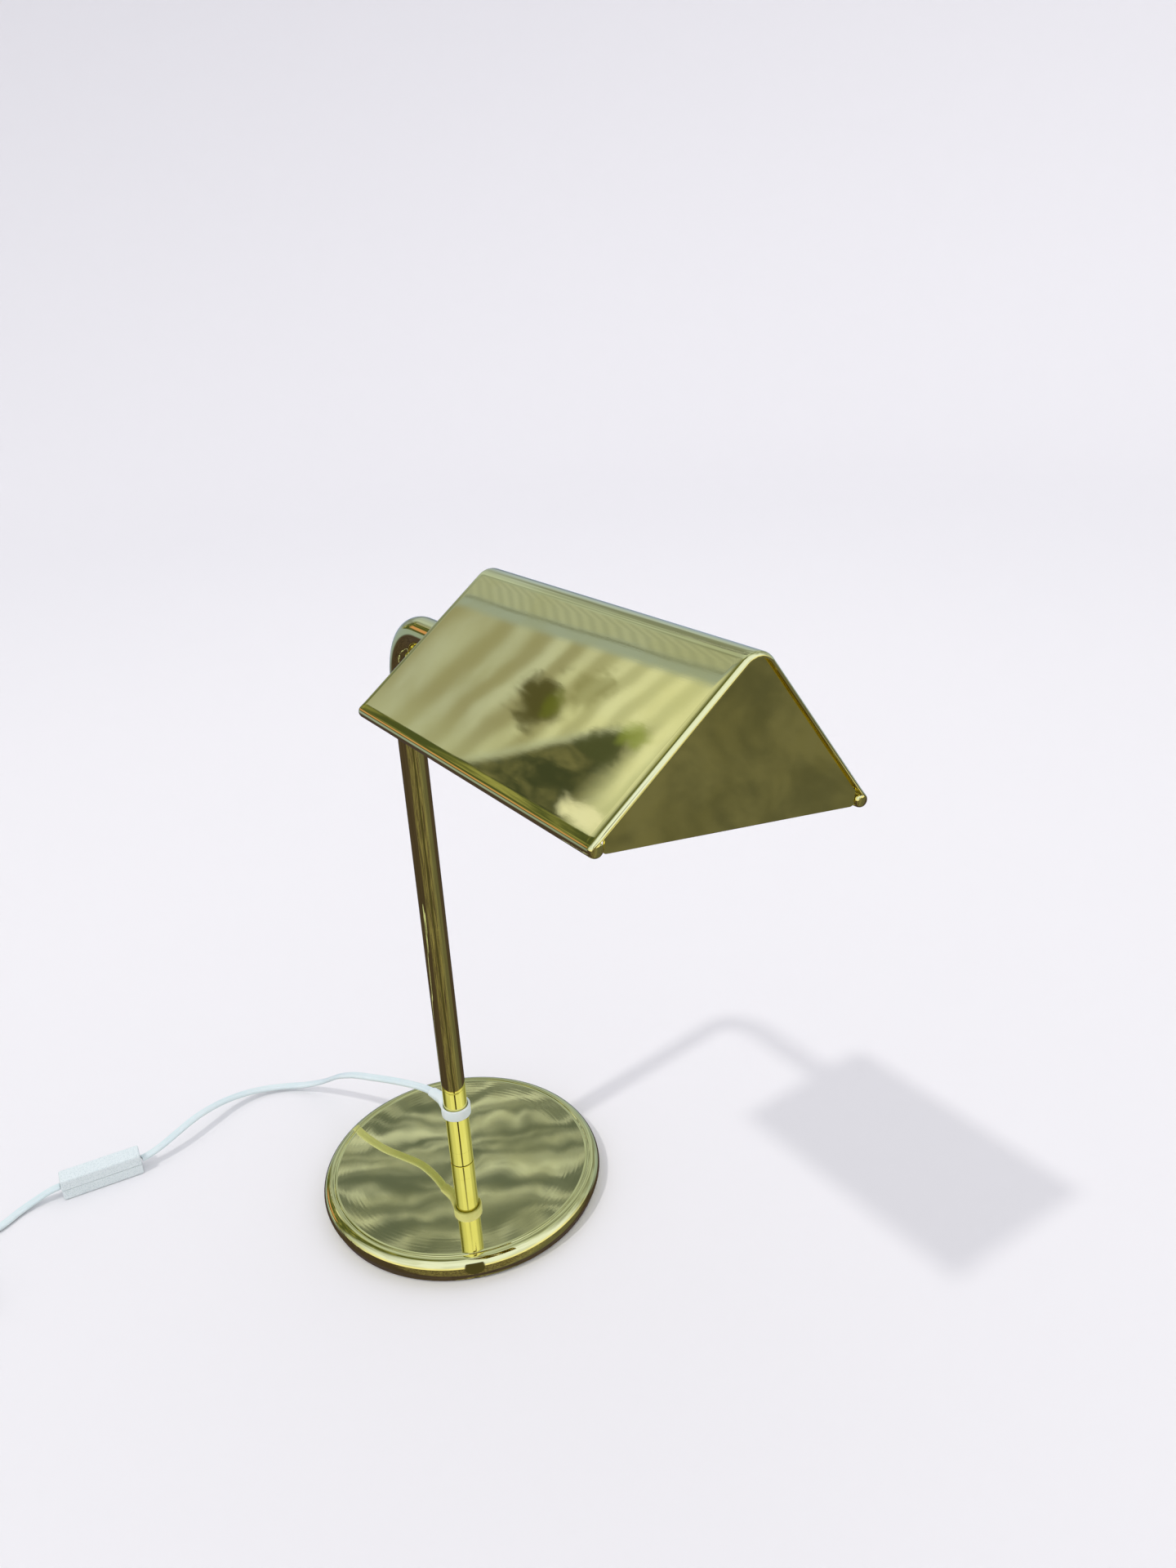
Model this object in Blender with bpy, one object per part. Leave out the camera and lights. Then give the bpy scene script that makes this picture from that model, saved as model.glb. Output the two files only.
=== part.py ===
"""Banker's desk lamp in brass: a weighted round base, a bent tubular stem, and a gabled
shade that swivels about the arm, with a socket and a tubular bulb under it. A white flat
lamp cord leaves the stem at a clip and runs through a thumbwheel switch to a plug.

Metres, +Z up. The origin is on the table, under the middle of the base. The arm runs
along +X, and the shade tilts about the arm's axis.
"""

import math

import bmesh
import bpy
from mathutils import Euler, Matrix, Vector

# ---- driving dimensions -----------------------------------------------------------

GAP = 0.0003  # air between pieces that touch
RUNNING = 0.0001  # air between a shaft and the bore that it turns in

BASE_RADIUS = 0.089
BASE_HEIGHT = 0.015
SHEET = 0.001  # thickness of every brass sheet
FELT_THICK = 0.0015

STEM_RADIUS = 0.0075
STEM_WALL = 0.001
COLLAR_HEIGHT = 0.010
ARM_HEIGHT = 0.375  # the arm's axis above the table
BEND_RADIUS = 0.034
ARM_END = 0.084  # where the tube ends, along +X
STUD_RADIUS = 0.0049

SHADE_START = 0.095
SHADE_LENGTH = 0.180
SHADE_TILT = -8.5  # degrees about +X, as the shade is left standing
RIDGE_TOP = 0.042  # above the arm's axis
RIDGE_RADIUS = 0.0095
HALF_WIDTH = 0.064
LOWEST = -0.022
HEM_RADIUS = 0.003
GABLE_INSET = 0.0015

NIPPLE_RADIUS = 0.004
NIPPLE_BORE = 0.0027
SOCKET_RADIUS = 0.0173
BULB_RADIUS = 0.016
BULB_END = 0.250

CORD_RADIUS = 0.0021  # round stand-in for a flat 5.6 x 2.8 mm lead
CLIP_LOW = 0.0525
CLIP_HIGH = 0.0596
CLIP_WALL = 0.0015
NOSE_TIP = Vector((-0.026, -0.004, 0.055))

SWITCH_AT = Vector((-0.1448, -0.1943, 0.0))
SWITCH_TURN = -6.9  # degrees about +Z from the row's +Y
SWITCH_SIZE = Vector((0.0125, 0.050, 0.015))
SWITCH_LIFT = 0.0002
WHEEL_RADIUS = 0.0065
WHEEL_THICK = 0.0036
WHEEL_SHIFT = -0.0016  # of the wheel's axis from the middle, so that its rim stands out
WHEEL_TEETH = 20

COIL_AT = Vector((-0.100, -0.312, 0.0))
COIL_INNER = 0.0231
COIL_OUTER = 0.0369
COIL_LOW = 0.0013
COIL_HIGH = 0.0127
TIE_ANGLE = 60.0
TIE_WALL = 0.0008
TIE_WIDTH = 0.006

PLUG_AT = Vector((-0.0520, -0.3385, 0.0))
PLUG_TURN = 8.0  # degrees about +Z
PLUG_SIZE = Vector((0.028, 0.022, 0.013))
BLADE_SIZE = Vector((0.017, 0.0063, 0.0015))
BLADE_SPACING = 0.0127

# The cord's own points, from the clip to the switch, from there to the coil, and from
# the coil to the plug.
LAMP_ROUTE = (
    (-0.0265, -0.0041, 0.0549),
    (-0.0360, -0.0052, 0.0522),
    (-0.0485, -0.0088, 0.0491),
    (-0.0620, -0.0160, 0.0474),
    (-0.0760, -0.0243, 0.0453),
    (-0.0910, -0.0309, 0.0413),
    (-0.1015, -0.0345, 0.0365),
    (-0.1115, -0.0366, 0.0306),
    (-0.1230, -0.0386, 0.0223),
    (-0.1338, -0.0412, 0.0147),
    (-0.1425, -0.0448, 0.0095),
    (-0.1518, -0.0511, 0.0052),
    (-0.1609, -0.0617, 0.0036),
    (-0.1665, -0.0760, 0.0045),
    (-0.1670, -0.0896, 0.0068),
    (-0.1638, -0.1050, 0.0098),
    (-0.1575, -0.1208, 0.0123),
    (-0.1523, -0.1324, 0.0127),
    (-0.1475, -0.1433, 0.0117),
    (-0.1440, -0.1544, 0.0096),
    (-0.1426, -0.1625, 0.0081),
    (-0.1418, -0.1688, 0.0077),
)
MAINS_ROUTE = (
    (-0.1479, -0.2198, 0.0077),
    (-0.1486, -0.2255, 0.0070),
    (-0.1494, -0.2340, 0.0042),
    (-0.1466, -0.2460, 0.0024),
    (-0.1402, -0.2585, 0.0023),
    (-0.1374, -0.2720, 0.0025),
    (-0.1374, -0.2830, 0.0028),
    (-0.1385, -0.2955, 0.0031),
)
TAIL_ROUTE = (
    (-0.0740, -0.3436, 0.0090),
    (-0.0670, -0.3418, 0.0080),
    (-0.0600, -0.3400, 0.0071),
    (-0.0530, -0.3386, 0.0067),
)
INNER_ROUTE = (
    (-0.0040, 0.0, 0.05605),
    (-0.0024, 0.0, 0.0563),
    (-0.0005, 0.0, 0.0590),
    (0.0, 0.0, 0.0650),
    (0.0, 0.0, 0.0800),
)

# ---- helpers ------------------------------------------------------------------------


def clear_scene():
    for obj in list(bpy.data.objects):
        bpy.data.objects.remove(obj, do_unlink=True)


def material(name, colour, metallic, roughness):
    """A Principled material with one colour and one finish."""
    made = bpy.data.materials.new(name)
    made.use_nodes = True
    shader = made.node_tree.nodes["Principled BSDF"]
    shader.inputs["Base Color"].default_value = (*colour, 1.0)
    shader.inputs["Metallic"].default_value = metallic
    shader.inputs["Roughness"].default_value = roughness
    return made


def empty(name, location, rotation):
    made = bpy.data.objects.new(name, None)
    made.location = location
    made.rotation_euler = rotation
    bpy.context.scene.collection.objects.link(made)
    return made


def object_from(name, bm, finish, parent=None):
    """Puts a bmesh in the scene as a closed, outward-facing, smooth-shaded object."""
    bmesh.ops.remove_doubles(bm, verts=bm.verts, dist=1e-6)
    bmesh.ops.recalc_face_normals(bm, faces=bm.faces)
    mesh = bpy.data.meshes.new(name)
    bm.to_mesh(mesh)
    bm.free()
    mesh.shade_smooth()
    mesh.set_sharp_from_angle(angle=math.radians(35))
    if finish:
        mesh.materials.append(finish)
    obj = bpy.data.objects.new(name, mesh)
    obj.parent = parent
    bpy.context.scene.collection.objects.link(obj)
    return obj


def arc(centre, radius, start, end, steps):
    """Points round a circle, from one angle to another in degrees."""
    points = []
    for i in range(steps + 1):
        angle = math.radians(start + (end - start) * i / steps)
        points.append(
            (centre[0] + radius * math.cos(angle), centre[1] + radius * math.sin(angle))
        )
    return points


def lathe(name, profile, finish, parent=None, segments=24, along="Z"):
    """Turns (radius, height) points about Z, or about X for a piece on the arm's axis."""
    bm = bmesh.new()
    verts = [bm.verts.new((radius, 0.0, height)) for radius, height in profile]
    edges = [bm.edges.new(pair) for pair in zip(verts, verts[1:])]
    if profile[0][0] > 0 or profile[-1][0] > 0:
        edges.append(bm.edges.new((verts[-1], verts[0])))
    bmesh.ops.spin(
        bm,
        geom=verts + edges,
        cent=(0, 0, 0),
        axis=(0, 0, 1),
        dvec=(0, 0, 0),
        angle=math.tau,
        steps=segments,
        use_merge=True,
    )
    if along == "X":
        bmesh.ops.rotate(
            bm, verts=bm.verts, cent=(0, 0, 0), matrix=Matrix.Rotation(math.pi / 2, 3, "Y")
        )
    return object_from(name, bm, finish, parent)


def washer(name, inner, outer, low, high, finish, parent=None, segments=24, along="Z"):
    profile = ((inner, low), (outer, low), (outer, high), (inner, high))
    return lathe(name, profile, finish, parent, segments, along)


def rod(name, radius, low, high, finish, parent=None, segments=24, along="Z"):
    profile = ((0, low), (radius, low), (radius, high), (0, high))
    return lathe(name, profile, finish, parent, segments, along)


def prism(name, outline, low, high, finish, parent=None, along="Z"):
    """Extrudes a closed outline: of (x, y) points along Z, or of (y, z) points along X."""
    bm = bmesh.new()
    if along == "Z":
        verts = [bm.verts.new((a, b, low)) for a, b in outline]
        step = (0, 0, high - low)
    else:
        verts = [bm.verts.new((low, a, b)) for a, b in outline]
        step = (high - low, 0, 0)
    face = bm.faces.new(verts)
    pulled = bmesh.ops.extrude_face_region(bm, geom=[face], use_keep_orig=True)
    moved = [item for item in pulled["geom"] if isinstance(item, bmesh.types.BMVert)]
    bmesh.ops.translate(bm, verts=moved, vec=step)
    return object_from(name, bm, finish, parent)


def block(name, low, high, finish, parent=None, round_edges=0.0, where=None):
    """A box between two corners. Its edges whose midpoint passes where() are rounded."""
    bm = bmesh.new()
    bmesh.ops.create_cube(bm, size=1.0)
    for vert in bm.verts:
        for k in range(3):
            vert.co[k] = high[k] if vert.co[k] > 0 else low[k]
    if round_edges:
        chosen = [
            edge
            for edge in bm.edges
            if where is None or where((edge.verts[0].co + edge.verts[1].co) / 2)
        ]
        bmesh.ops.bevel(
            bm,
            geom=chosen,
            offset=round_edges,
            segments=2,
            profile=0.5,
            affect="EDGES",
        )
    return object_from(name, bm, finish, parent)


def cut(obj, cutter, operation="DIFFERENCE"):
    """Adds a Boolean with a hidden helper object."""
    cutter.hide_render = True
    cutter.display_type = "WIRE"
    modifier = obj.modifiers.new(cutter.name, "BOOLEAN")
    modifier.operation = operation
    modifier.object = cutter


def nut(name, across_flats, bore, low, high, finish, parent=None, along="Z"):
    corner = across_flats / 2 / math.cos(math.radians(30))
    outline = arc((0, 0), corner, 0, 300, 5)
    obj = prism(name, outline, low, high, finish, parent, along)
    cutter = rod(f"{name}_bore", bore, low - 0.001, high + 0.001, None, parent, 24, along)
    cut(obj, cutter)
    return obj


def smooth_route(points, spacing):
    """Evenly spaced points on a Catmull-Rom curve through the route's own points."""
    route = [Vector(p) for p in points]
    padded = [2 * route[0] - route[1], *route, 2 * route[-1] - route[-2]]
    fine = []
    for a, b, c, d in zip(padded, padded[1:], padded[2:], padded[3:]):
        for step in range(12):
            t = step / 12
            fine.append(
                0.5
                * (
                    2 * b
                    + (c - a) * t
                    + (2 * a - 5 * b + 4 * c - d) * t * t
                    + (3 * b - a - 3 * c + d) * t**3
                )
            )
    fine.append(route[-1])
    lengths = [0.0]
    for a, b in zip(fine, fine[1:]):
        lengths.append(lengths[-1] + (b - a).length)
    count = max(2, round(lengths[-1] / spacing))
    evenly, i = [], 0
    for k in range(count + 1):
        target = lengths[-1] * k / count
        while i < len(fine) - 2 and lengths[i + 1] < target:
            i += 1
        share = (target - lengths[i]) / (lengths[i + 1] - lengths[i])
        evenly.append(fine[i].lerp(fine[i + 1], share))
    return evenly


def poly_curve(name, points, radius, resolution, capped=True):
    data = bpy.data.curves.new(name, "CURVE")
    data.dimensions = "3D"
    data.bevel_depth = radius
    data.bevel_resolution = resolution
    data.use_fill_caps = capped
    spline = data.splines.new("POLY")
    spline.points.add(len(points) - 1)
    for point, place in zip(spline.points, points):
        point.co = (*place, 1.0)
    return data


def cord_tube(name, points, radius, finish, parent=None):
    data = poly_curve(name, points, radius, 2)
    data.materials.append(finish)
    obj = bpy.data.objects.new(name, data)
    obj.parent = parent
    bpy.context.scene.collection.objects.link(obj)
    return obj


# ---- base -----------------------------------------------------------------------------


def make_base(brass, iron, steel, felt):
    """A spun brass cover over an iron weight, with felt below and the stud's fixings."""
    under = BASE_HEIGHT - SHEET
    rim = 0.0065  # radius of the rounded edge
    outer = [
        (STUD_RADIUS + GAP, BASE_HEIGHT),
        (BASE_RADIUS - 0.0080, BASE_HEIGHT),
        (BASE_RADIUS - 0.0074, BASE_HEIGHT - 0.0004),
        (BASE_RADIUS - 0.0068, BASE_HEIGHT),
        *arc((BASE_RADIUS - rim, BASE_HEIGHT - rim), rim, 90, 0, 7),
        *arc((BASE_RADIUS - rim, BASE_HEIGHT - rim), rim, -12, -36, 2),
        (BASE_RADIUS - 0.0026, 0.0008),
    ]
    inner = [
        (BASE_RADIUS - 0.0037, 0.0008),
        (BASE_RADIUS - 0.0026, 0.0050),
        *arc((BASE_RADIUS - rim, BASE_HEIGHT - rim), rim - SHEET, -6, 90, 5),
        (BASE_RADIUS - 0.0082, under),
        (STUD_RADIUS + GAP, under),
    ]
    lathe("base_cover", outer + inner, brass, segments=60)

    weight_low = FELT_THICK + GAP
    weight_high = under - 2 * GAP
    recess = 0.0082
    lathe(
        "base_weight",
        (
            (0.014, weight_low),
            (BASE_RADIUS - 0.0055, weight_low),
            (BASE_RADIUS - 0.0040, 0.0050),
            (BASE_RADIUS - 0.0040, 0.0090),
            (BASE_RADIUS - 0.0085, weight_high),
            (STUD_RADIUS + GAP, weight_high),
            (STUD_RADIUS + GAP, recess),
            (0.014, recess),
        ),
        iron,
        segments=36,
    )
    rod("base_felt", BASE_RADIUS - 0.0042, 0.0, FELT_THICK, felt, segments=40)

    washer("base_washer", 0.0054, 0.0125, 0.0068, 0.0079, steel)
    washer("base_lock_washer", 0.0054, 0.0090, 0.0056, 0.0065, steel)
    nut("base_nut", 0.017, STUD_RADIUS + GAP, 0.0022, 0.0053, steel)
    rod("stem_stud", STUD_RADIUS, 0.0020, 0.0340, steel)


# ---- stem -----------------------------------------------------------------------------


def make_stem(brass):
    """A turned collar at the foot, and one tube bent through a right angle."""
    foot = BASE_HEIGHT + GAP
    shoulder = foot + COLLAR_HEIGHT
    spigot = STEM_RADIUS - STEM_WALL - GAP
    bore = STUD_RADIUS + RUNNING
    lathe(
        "foot_collar",
        (
            (bore, foot),
            (STEM_RADIUS, foot),
            (STEM_RADIUS, shoulder - 0.0008),
            (STEM_RADIUS - 0.0008, shoulder),
            (spigot, shoulder),
            (spigot, shoulder + 0.011),
            (bore, shoulder + 0.011),
        ),
        brass,
    )

    bend = (BEND_RADIUS, ARM_HEIGHT - BEND_RADIUS)
    path = [(0.0, 0.0, shoulder + GAP)]
    path += [(x, 0.0, z) for x, z in arc(bend, BEND_RADIUS, 180, 90, 10)]
    path.append((ARM_END, 0.0, ARM_HEIGHT))
    line = bpy.data.objects.new(
        "stem_line", poly_curve("stem_line", path, STEM_RADIUS, 6, capped=False)
    )
    mesh = bpy.data.meshes.new_from_object(line)
    bpy.data.objects.remove(line)
    mesh.name = "stem_tube"
    mesh.shade_smooth()
    mesh.materials.append(brass)
    tube = bpy.data.objects.new("stem_tube", mesh)
    bpy.context.scene.collection.objects.link(tube)
    wall = tube.modifiers.new("wall", "SOLIDIFY")
    wall.thickness = STEM_WALL
    wall.offset = -1.0
    cord_hole = rod("cord_hole", 0.0030, -0.0095, -0.0050, None, along="X")
    cord_hole.location.z = (CLIP_LOW + CLIP_HIGH) / 2
    cut(tube, cord_hole)


def make_swivel(brass, steel, fibre, shade):
    """The arm's end bushing, and the friction swivel that the shade hangs on.

    Positions are along the arm. What turns with the shade is parented to it.
    """
    arm = empty("arm_axis", (0, 0, ARM_HEIGHT), (0, 0, 0))
    turn = NIPPLE_RADIUS + RUNNING
    clear = NIPPLE_RADIUS + GAP
    flange = ARM_END + GAP
    lathe(
        "arm_end_bushing",
        (
            (turn, 0.0700),
            (STEM_RADIUS - STEM_WALL - GAP, 0.0700),
            (STEM_RADIUS - STEM_WALL - GAP, flange),
            (STEM_RADIUS + 0.0003, flange),
            (STEM_RADIUS + 0.0003, 0.0870),
            (turn, 0.0870),
        ),
        brass,
        arm,
        along="X",
    )
    washer("friction_washer", clear, 0.0085, 0.0873, 0.0885, fibre, arm, along="X")
    washer("wave_spring", clear, 0.0080, 0.0888, 0.0902, steel, arm, along="X")
    washer("swivel_collar", clear, 0.0082, 0.0905, 0.0962, brass, shade, along="X")
    washer(
        "swivel_nipple", NIPPLE_BORE, NIPPLE_RADIUS, 0.0635, 0.1075, brass, shade, along="X"
    )
    washer("swivel_washer", clear, 0.0061, 0.0684, 0.0697, steel, shade, along="X")
    nut("swivel_lock_nut", 0.0106, clear, 0.0642, 0.0681, steel, shade, "X")
    nut("gable_lock_nut", 0.014, clear, 0.0978, 0.1010, steel, shade, "X")


# ---- shade ----------------------------------------------------------------------------


def slope_angle():
    """The direction that the right-hand slope faces, tangent to the ridge and the hem."""
    across = HALF_WIDTH - HEM_RADIUS
    drop = LOWEST + HEM_RADIUS - (RIDGE_TOP - RIDGE_RADIUS)
    lean = math.degrees(math.acos((RIDGE_RADIUS - HEM_RADIUS) / math.hypot(across, drop)))
    return math.degrees(math.atan2(drop, across)) + lean


def shade_half_outline():
    """The right half of the sheet's section as (y, z), from the top out and back in."""
    faces = slope_angle()
    ridge = (0.0, RIDGE_TOP - RIDGE_RADIUS)
    hem = (HALF_WIDTH - HEM_RADIUS, LOWEST + HEM_RADIUS)
    back = math.degrees(math.acos((HEM_RADIUS - SHEET) / HEM_RADIUS))
    outside = arc(ridge, RIDGE_RADIUS, 90, faces, 5)
    bead = arc(hem, HEM_RADIUS, faces, faces - 360 + back, 12)
    inside = arc(ridge, RIDGE_RADIUS - SHEET, faces, 90, 4)
    return outside + bead, inside


def gable_outline():
    """A gable that fits inside the sheet, with its lower corners clear of the hems."""
    faces = slope_angle()
    inset = SHEET + GAP
    ridge = (0.0, RIDGE_TOP - RIDGE_RADIUS)
    side = HALF_WIDTH - 2 * HEM_RADIUS - 2 * GAP
    top = arc(ridge, RIDGE_RADIUS - inset, faces, 90, 4)
    start = Vector(top[0])
    angle = math.radians(faces)
    along = Vector((math.sin(angle), -math.cos(angle)))
    slope_end = start + along * ((side - start.x) / along.x)
    corner = 0.003
    bottom = LOWEST + 0.0008
    half = [
        (side - corner, bottom),
        *arc((side - corner, bottom + corner), corner, -60, 0, 2),
        tuple(slope_end),
        *top[:-1],
    ]
    return half + [(0.0, top[-1][1])] + [(-y, z) for y, z in reversed(half)]


def make_shade(brass, shade):
    outside, inside = shade_half_outline()
    right = outside + inside[:-1]
    left = [(-y, z) for y, z in reversed(outside[1:] + inside[:-1])]
    outline = right + [inside[-1]] + left
    end = SHADE_START + SHADE_LENGTH
    prism("shade_sheet", outline, SHADE_START, end, brass, shade, "X")

    inner_face = SHADE_START + GABLE_INSET
    gable = prism(
        "gable_inner", gable_outline(), inner_face, inner_face + SHEET, brass, shade, "X"
    )
    hole = rod(
        "gable_hole", NIPPLE_RADIUS + GAP, inner_face - 0.001, inner_face + 0.002, None,
        shade, along="X",
    )
    cut(gable, hole)
    prism(
        "gable_outer", gable_outline(), end - GABLE_INSET - SHEET, end - GABLE_INSET,
        brass, shade, "X",
    )


# ---- socket and bulb --------------------------------------------------------------------


def make_socket(brass, fibre, shade):
    """A medium screw socket on the nipple, its parts nested a gap apart."""
    wall = 0.0007
    lathe(
        "socket_cap",
        (
            (NIPPLE_RADIUS + GAP, 0.1013),
            (0.0075, 0.1013),
            (0.0080, 0.1040),
            (0.0150, 0.1068),
            (SOCKET_RADIUS, 0.1100),
            (SOCKET_RADIUS, 0.1165),
            (SOCKET_RADIUS - wall, 0.1165),
            (SOCKET_RADIUS - wall, 0.1104),
            (0.0146, 0.1076),
            (0.0074, 0.1048),
            (NIPPLE_RADIUS + GAP, 0.1048),
        ),
        brass,
        shade,
        along="X",
    )
    shell = SOCKET_RADIUS - wall - GAP
    liner = shell - wall - GAP
    thread = liner - wall - GAP
    washer("socket_shell", shell - wall, shell, 0.1135, 0.1480, brass, shade, along="X")
    washer("socket_liner", liner - wall, liner, 0.1140, 0.1486, fibre, shade, along="X")
    lathe(
        "socket_body",
        ((0, 0.1120), (0.0100, 0.1120), (0.0130, 0.1140), (0.0130, 0.1247), (0, 0.1247)),
        fibre,
        shade,
        24,
        "X",
    )
    lathe(
        "screw_shell",
        (
            (0.0050, 0.1250),
            (thread, 0.1250),
            (thread, 0.1478),
            (thread - 0.0006, 0.1478),
            (thread - 0.0006, 0.1257),
            (0.0050, 0.1257),
        ),
        brass,
        shade,
        along="X",
    )
    rod("centre_contact", 0.0030, 0.1250, 0.1276, brass, shade, 16, "X")
    for name, side in (("lead_wire_live", 1), ("lead_wire_neutral", -1)):
        points = (
            (0.1079, side * 0.0011, 0.0),
            (0.1088, side * 0.0028, 0.0),
            (0.1098, side * 0.0050, 0.0),
            (0.1107, side * 0.0066, 0.0),
        )
        cord_tube(name, points, 0.0008, fibre, shade)


def make_bulb(glass, nickel, tungsten, shade):
    """A tubular bulb: a screw cap, an open-necked glass tube, its mount and filament."""
    ridges = 4
    profile = [(0, 0.1280), (0.0045, 0.1280), (0.0055, 0.1292), (0.0110, 0.1310)]
    for i in range(2 * ridges + 1):
        profile.append((0.0131 if i % 2 else 0.0126, 0.1325 + 0.0032 * i / 2))
    profile += [(0.0131, 0.1515), (0.0123, 0.1515), (0.0120, 0.1380), (0, 0.1380)]
    lathe("bulb_cap", profile, nickel, shade, 20, "X")

    wall = 0.0008
    dome = 0.014
    neck = 0.0116
    outside = [
        (neck, 0.1400),
        (neck, 0.1520),
        (BULB_RADIUS - 0.0010, 0.1580),
        (BULB_RADIUS, 0.1630),
        (BULB_RADIUS, BULB_END - dome),
    ]
    inside = [
        (BULB_RADIUS - wall, BULB_END - dome),
        (BULB_RADIUS - wall, 0.1632),
        (BULB_RADIUS - wall - 0.0010, 0.1584),
        (neck - wall, 0.1524),
        (neck - wall, 0.1400),
    ]
    for i in range(1, 6):
        angle = math.radians(18 * i)
        r, h = math.cos(angle), math.sin(angle)
        outside.append((BULB_RADIUS * r, BULB_END - dome + dome * h))
        inside.insert(
            0, ((BULB_RADIUS - wall) * r, BULB_END - dome + (dome - wall) * h)
        )
    outside[-1] = (0.0, BULB_END)
    inside[0] = (0.0, BULB_END - wall)
    bm = bmesh.new()
    for profile in (outside, inside):
        verts = [bm.verts.new((radius, 0.0, height)) for radius, height in profile]
        edges = [bm.edges.new(pair) for pair in zip(verts, verts[1:])]
        bmesh.ops.spin(
            bm, geom=verts + edges, cent=(0, 0, 0), axis=(0, 0, 1), dvec=(0, 0, 0),
            angle=math.tau, steps=20, use_merge=True,
        )
    bmesh.ops.remove_doubles(bm, verts=bm.verts, dist=1e-6)
    open_edges = [edge for edge in bm.edges if edge.is_boundary]
    bmesh.ops.bridge_loops(bm, edges=open_edges)
    bmesh.ops.rotate(
        bm, verts=bm.verts, cent=(0, 0, 0), matrix=Matrix.Rotation(math.pi / 2, 3, "Y")
    )
    object_from("bulb_glass", bm, glass, shade)

    lathe(
        "filament_mount",
        (
            (0, 0.1384),
            (0.0080, 0.1384),
            (0.0080, 0.1396),
            (0.0040, 0.1480),
            (0.0022, 0.1600),
            (0.0018, 0.1780),
            (0, 0.1780),
        ),
        glass,
        shade,
        16,
        "X",
    )
    turns = 8
    zigzag = [
        (0.1785 + (BULB_END - 0.016 - 0.1785) * i / turns, 0.0, 0.004 * (i % 2))
        for i in range(turns + 1)
    ]
    cord_tube("filament", zigzag, 0.0004, tungsten, shade)


# ---- cord, clip, switch and plug ----------------------------------------------------------


def make_clip(nylon):
    """A nylon ring round the stem. Its tapered nose is the cord's strain relief."""
    inner = STEM_RADIUS + GAP
    clip = washer("cable_clip", inner, inner + CLIP_WALL, CLIP_LOW, CLIP_HIGH, nylon)
    middle = Vector((0.0, 0.0, (CLIP_LOW + CLIP_HIGH) / 2))
    line = NOSE_TIP - middle
    nose_profile = (
        (0, 0.004),
        (0.0034, 0.004),
        (0.0034, 0.011),
        (0.0026, line.length),
        (0, line.length),
    )
    nose = lathe("clip_nose", nose_profile, None, segments=16)
    nose.rotation_euler = line.to_track_quat("Z", "Y").to_euler()
    nose.location = middle
    cut(clip, nose, "UNION")
    stem_room = rod("clip_stem_room", inner, CLIP_LOW - 0.005, CLIP_HIGH + 0.005, None,
                    segments=32)
    cut(clip, stem_room)
    rod("cord_grommet", 0.0024, -0.0071, -0.0056, nylon, segments=16, along="X")
    bpy.data.objects["cord_grommet"].location = middle


def make_cords(vinyl):
    spacing = 0.011
    cord_tube("cord_lamp", smooth_route(LAMP_ROUTE, spacing), CORD_RADIUS, vinyl)
    cord_tube("cord_mains", smooth_route(MAINS_ROUTE, spacing), CORD_RADIUS, vinyl)
    cord_tube("cord_tail", smooth_route(TAIL_ROUTE, spacing), CORD_RADIUS, vinyl)

    inner = smooth_route(INNER_ROUTE, 0.003)
    bend = (BEND_RADIUS, ARM_HEIGHT - BEND_RADIUS)
    inner += [
        Vector((x, 0.0, z)) for x, z in arc(bend, BEND_RADIUS, 180, 90, 8)
    ]
    inner.append(Vector((0.1060, 0.0, ARM_HEIGHT)))
    cord_tube("cord_inner", inner, CORD_RADIUS, vinyl)

    ring = lathe(
        "cord_coil",
        (
            (COIL_INNER, COIL_LOW + 0.001),
            (COIL_INNER + 0.001, COIL_LOW),
            (COIL_OUTER - 0.001, COIL_LOW),
            (COIL_OUTER, COIL_LOW + 0.001),
            (COIL_OUTER, COIL_HIGH - 0.001),
            (COIL_OUTER - 0.001, COIL_HIGH),
            (COIL_INNER + 0.001, COIL_HIGH),
            (COIL_INNER, COIL_HIGH - 0.001),
        ),
        vinyl,
        segments=32,
    )
    ring.location = COIL_AT


def make_tie(rubber):
    """A band round the coil's bundle, its length along the turns."""
    direction = Vector(
        (math.cos(math.radians(TIE_ANGLE)), math.sin(math.radians(TIE_ANGLE)), 0.0)
    )
    frame = empty("tie_frame", COIL_AT + direction * (COIL_INNER + COIL_OUTER) / 2,
                  (0, 0, math.radians(TIE_ANGLE)))
    half = (COIL_OUTER - COIL_INNER) / 2 + GAP
    low = COIL_LOW - GAP
    high = COIL_HIGH + GAP
    wide = TIE_WIDTH / 2
    tie = block(
        "coil_tie",
        (-half - TIE_WALL - 0.0004, -wide, low - TIE_WALL),
        (half + TIE_WALL + 0.0004, wide, high + TIE_WALL),
        rubber,
        frame,
        0.0012,
        lambda middle: abs(middle.y) < 1e-6,
    )
    room = block(
        "tie_room", (-half - 0.0004, -2 * wide, low), (half + 0.0004, 2 * wide, high),
        None, frame,
    )
    cut(tie, room)


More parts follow.
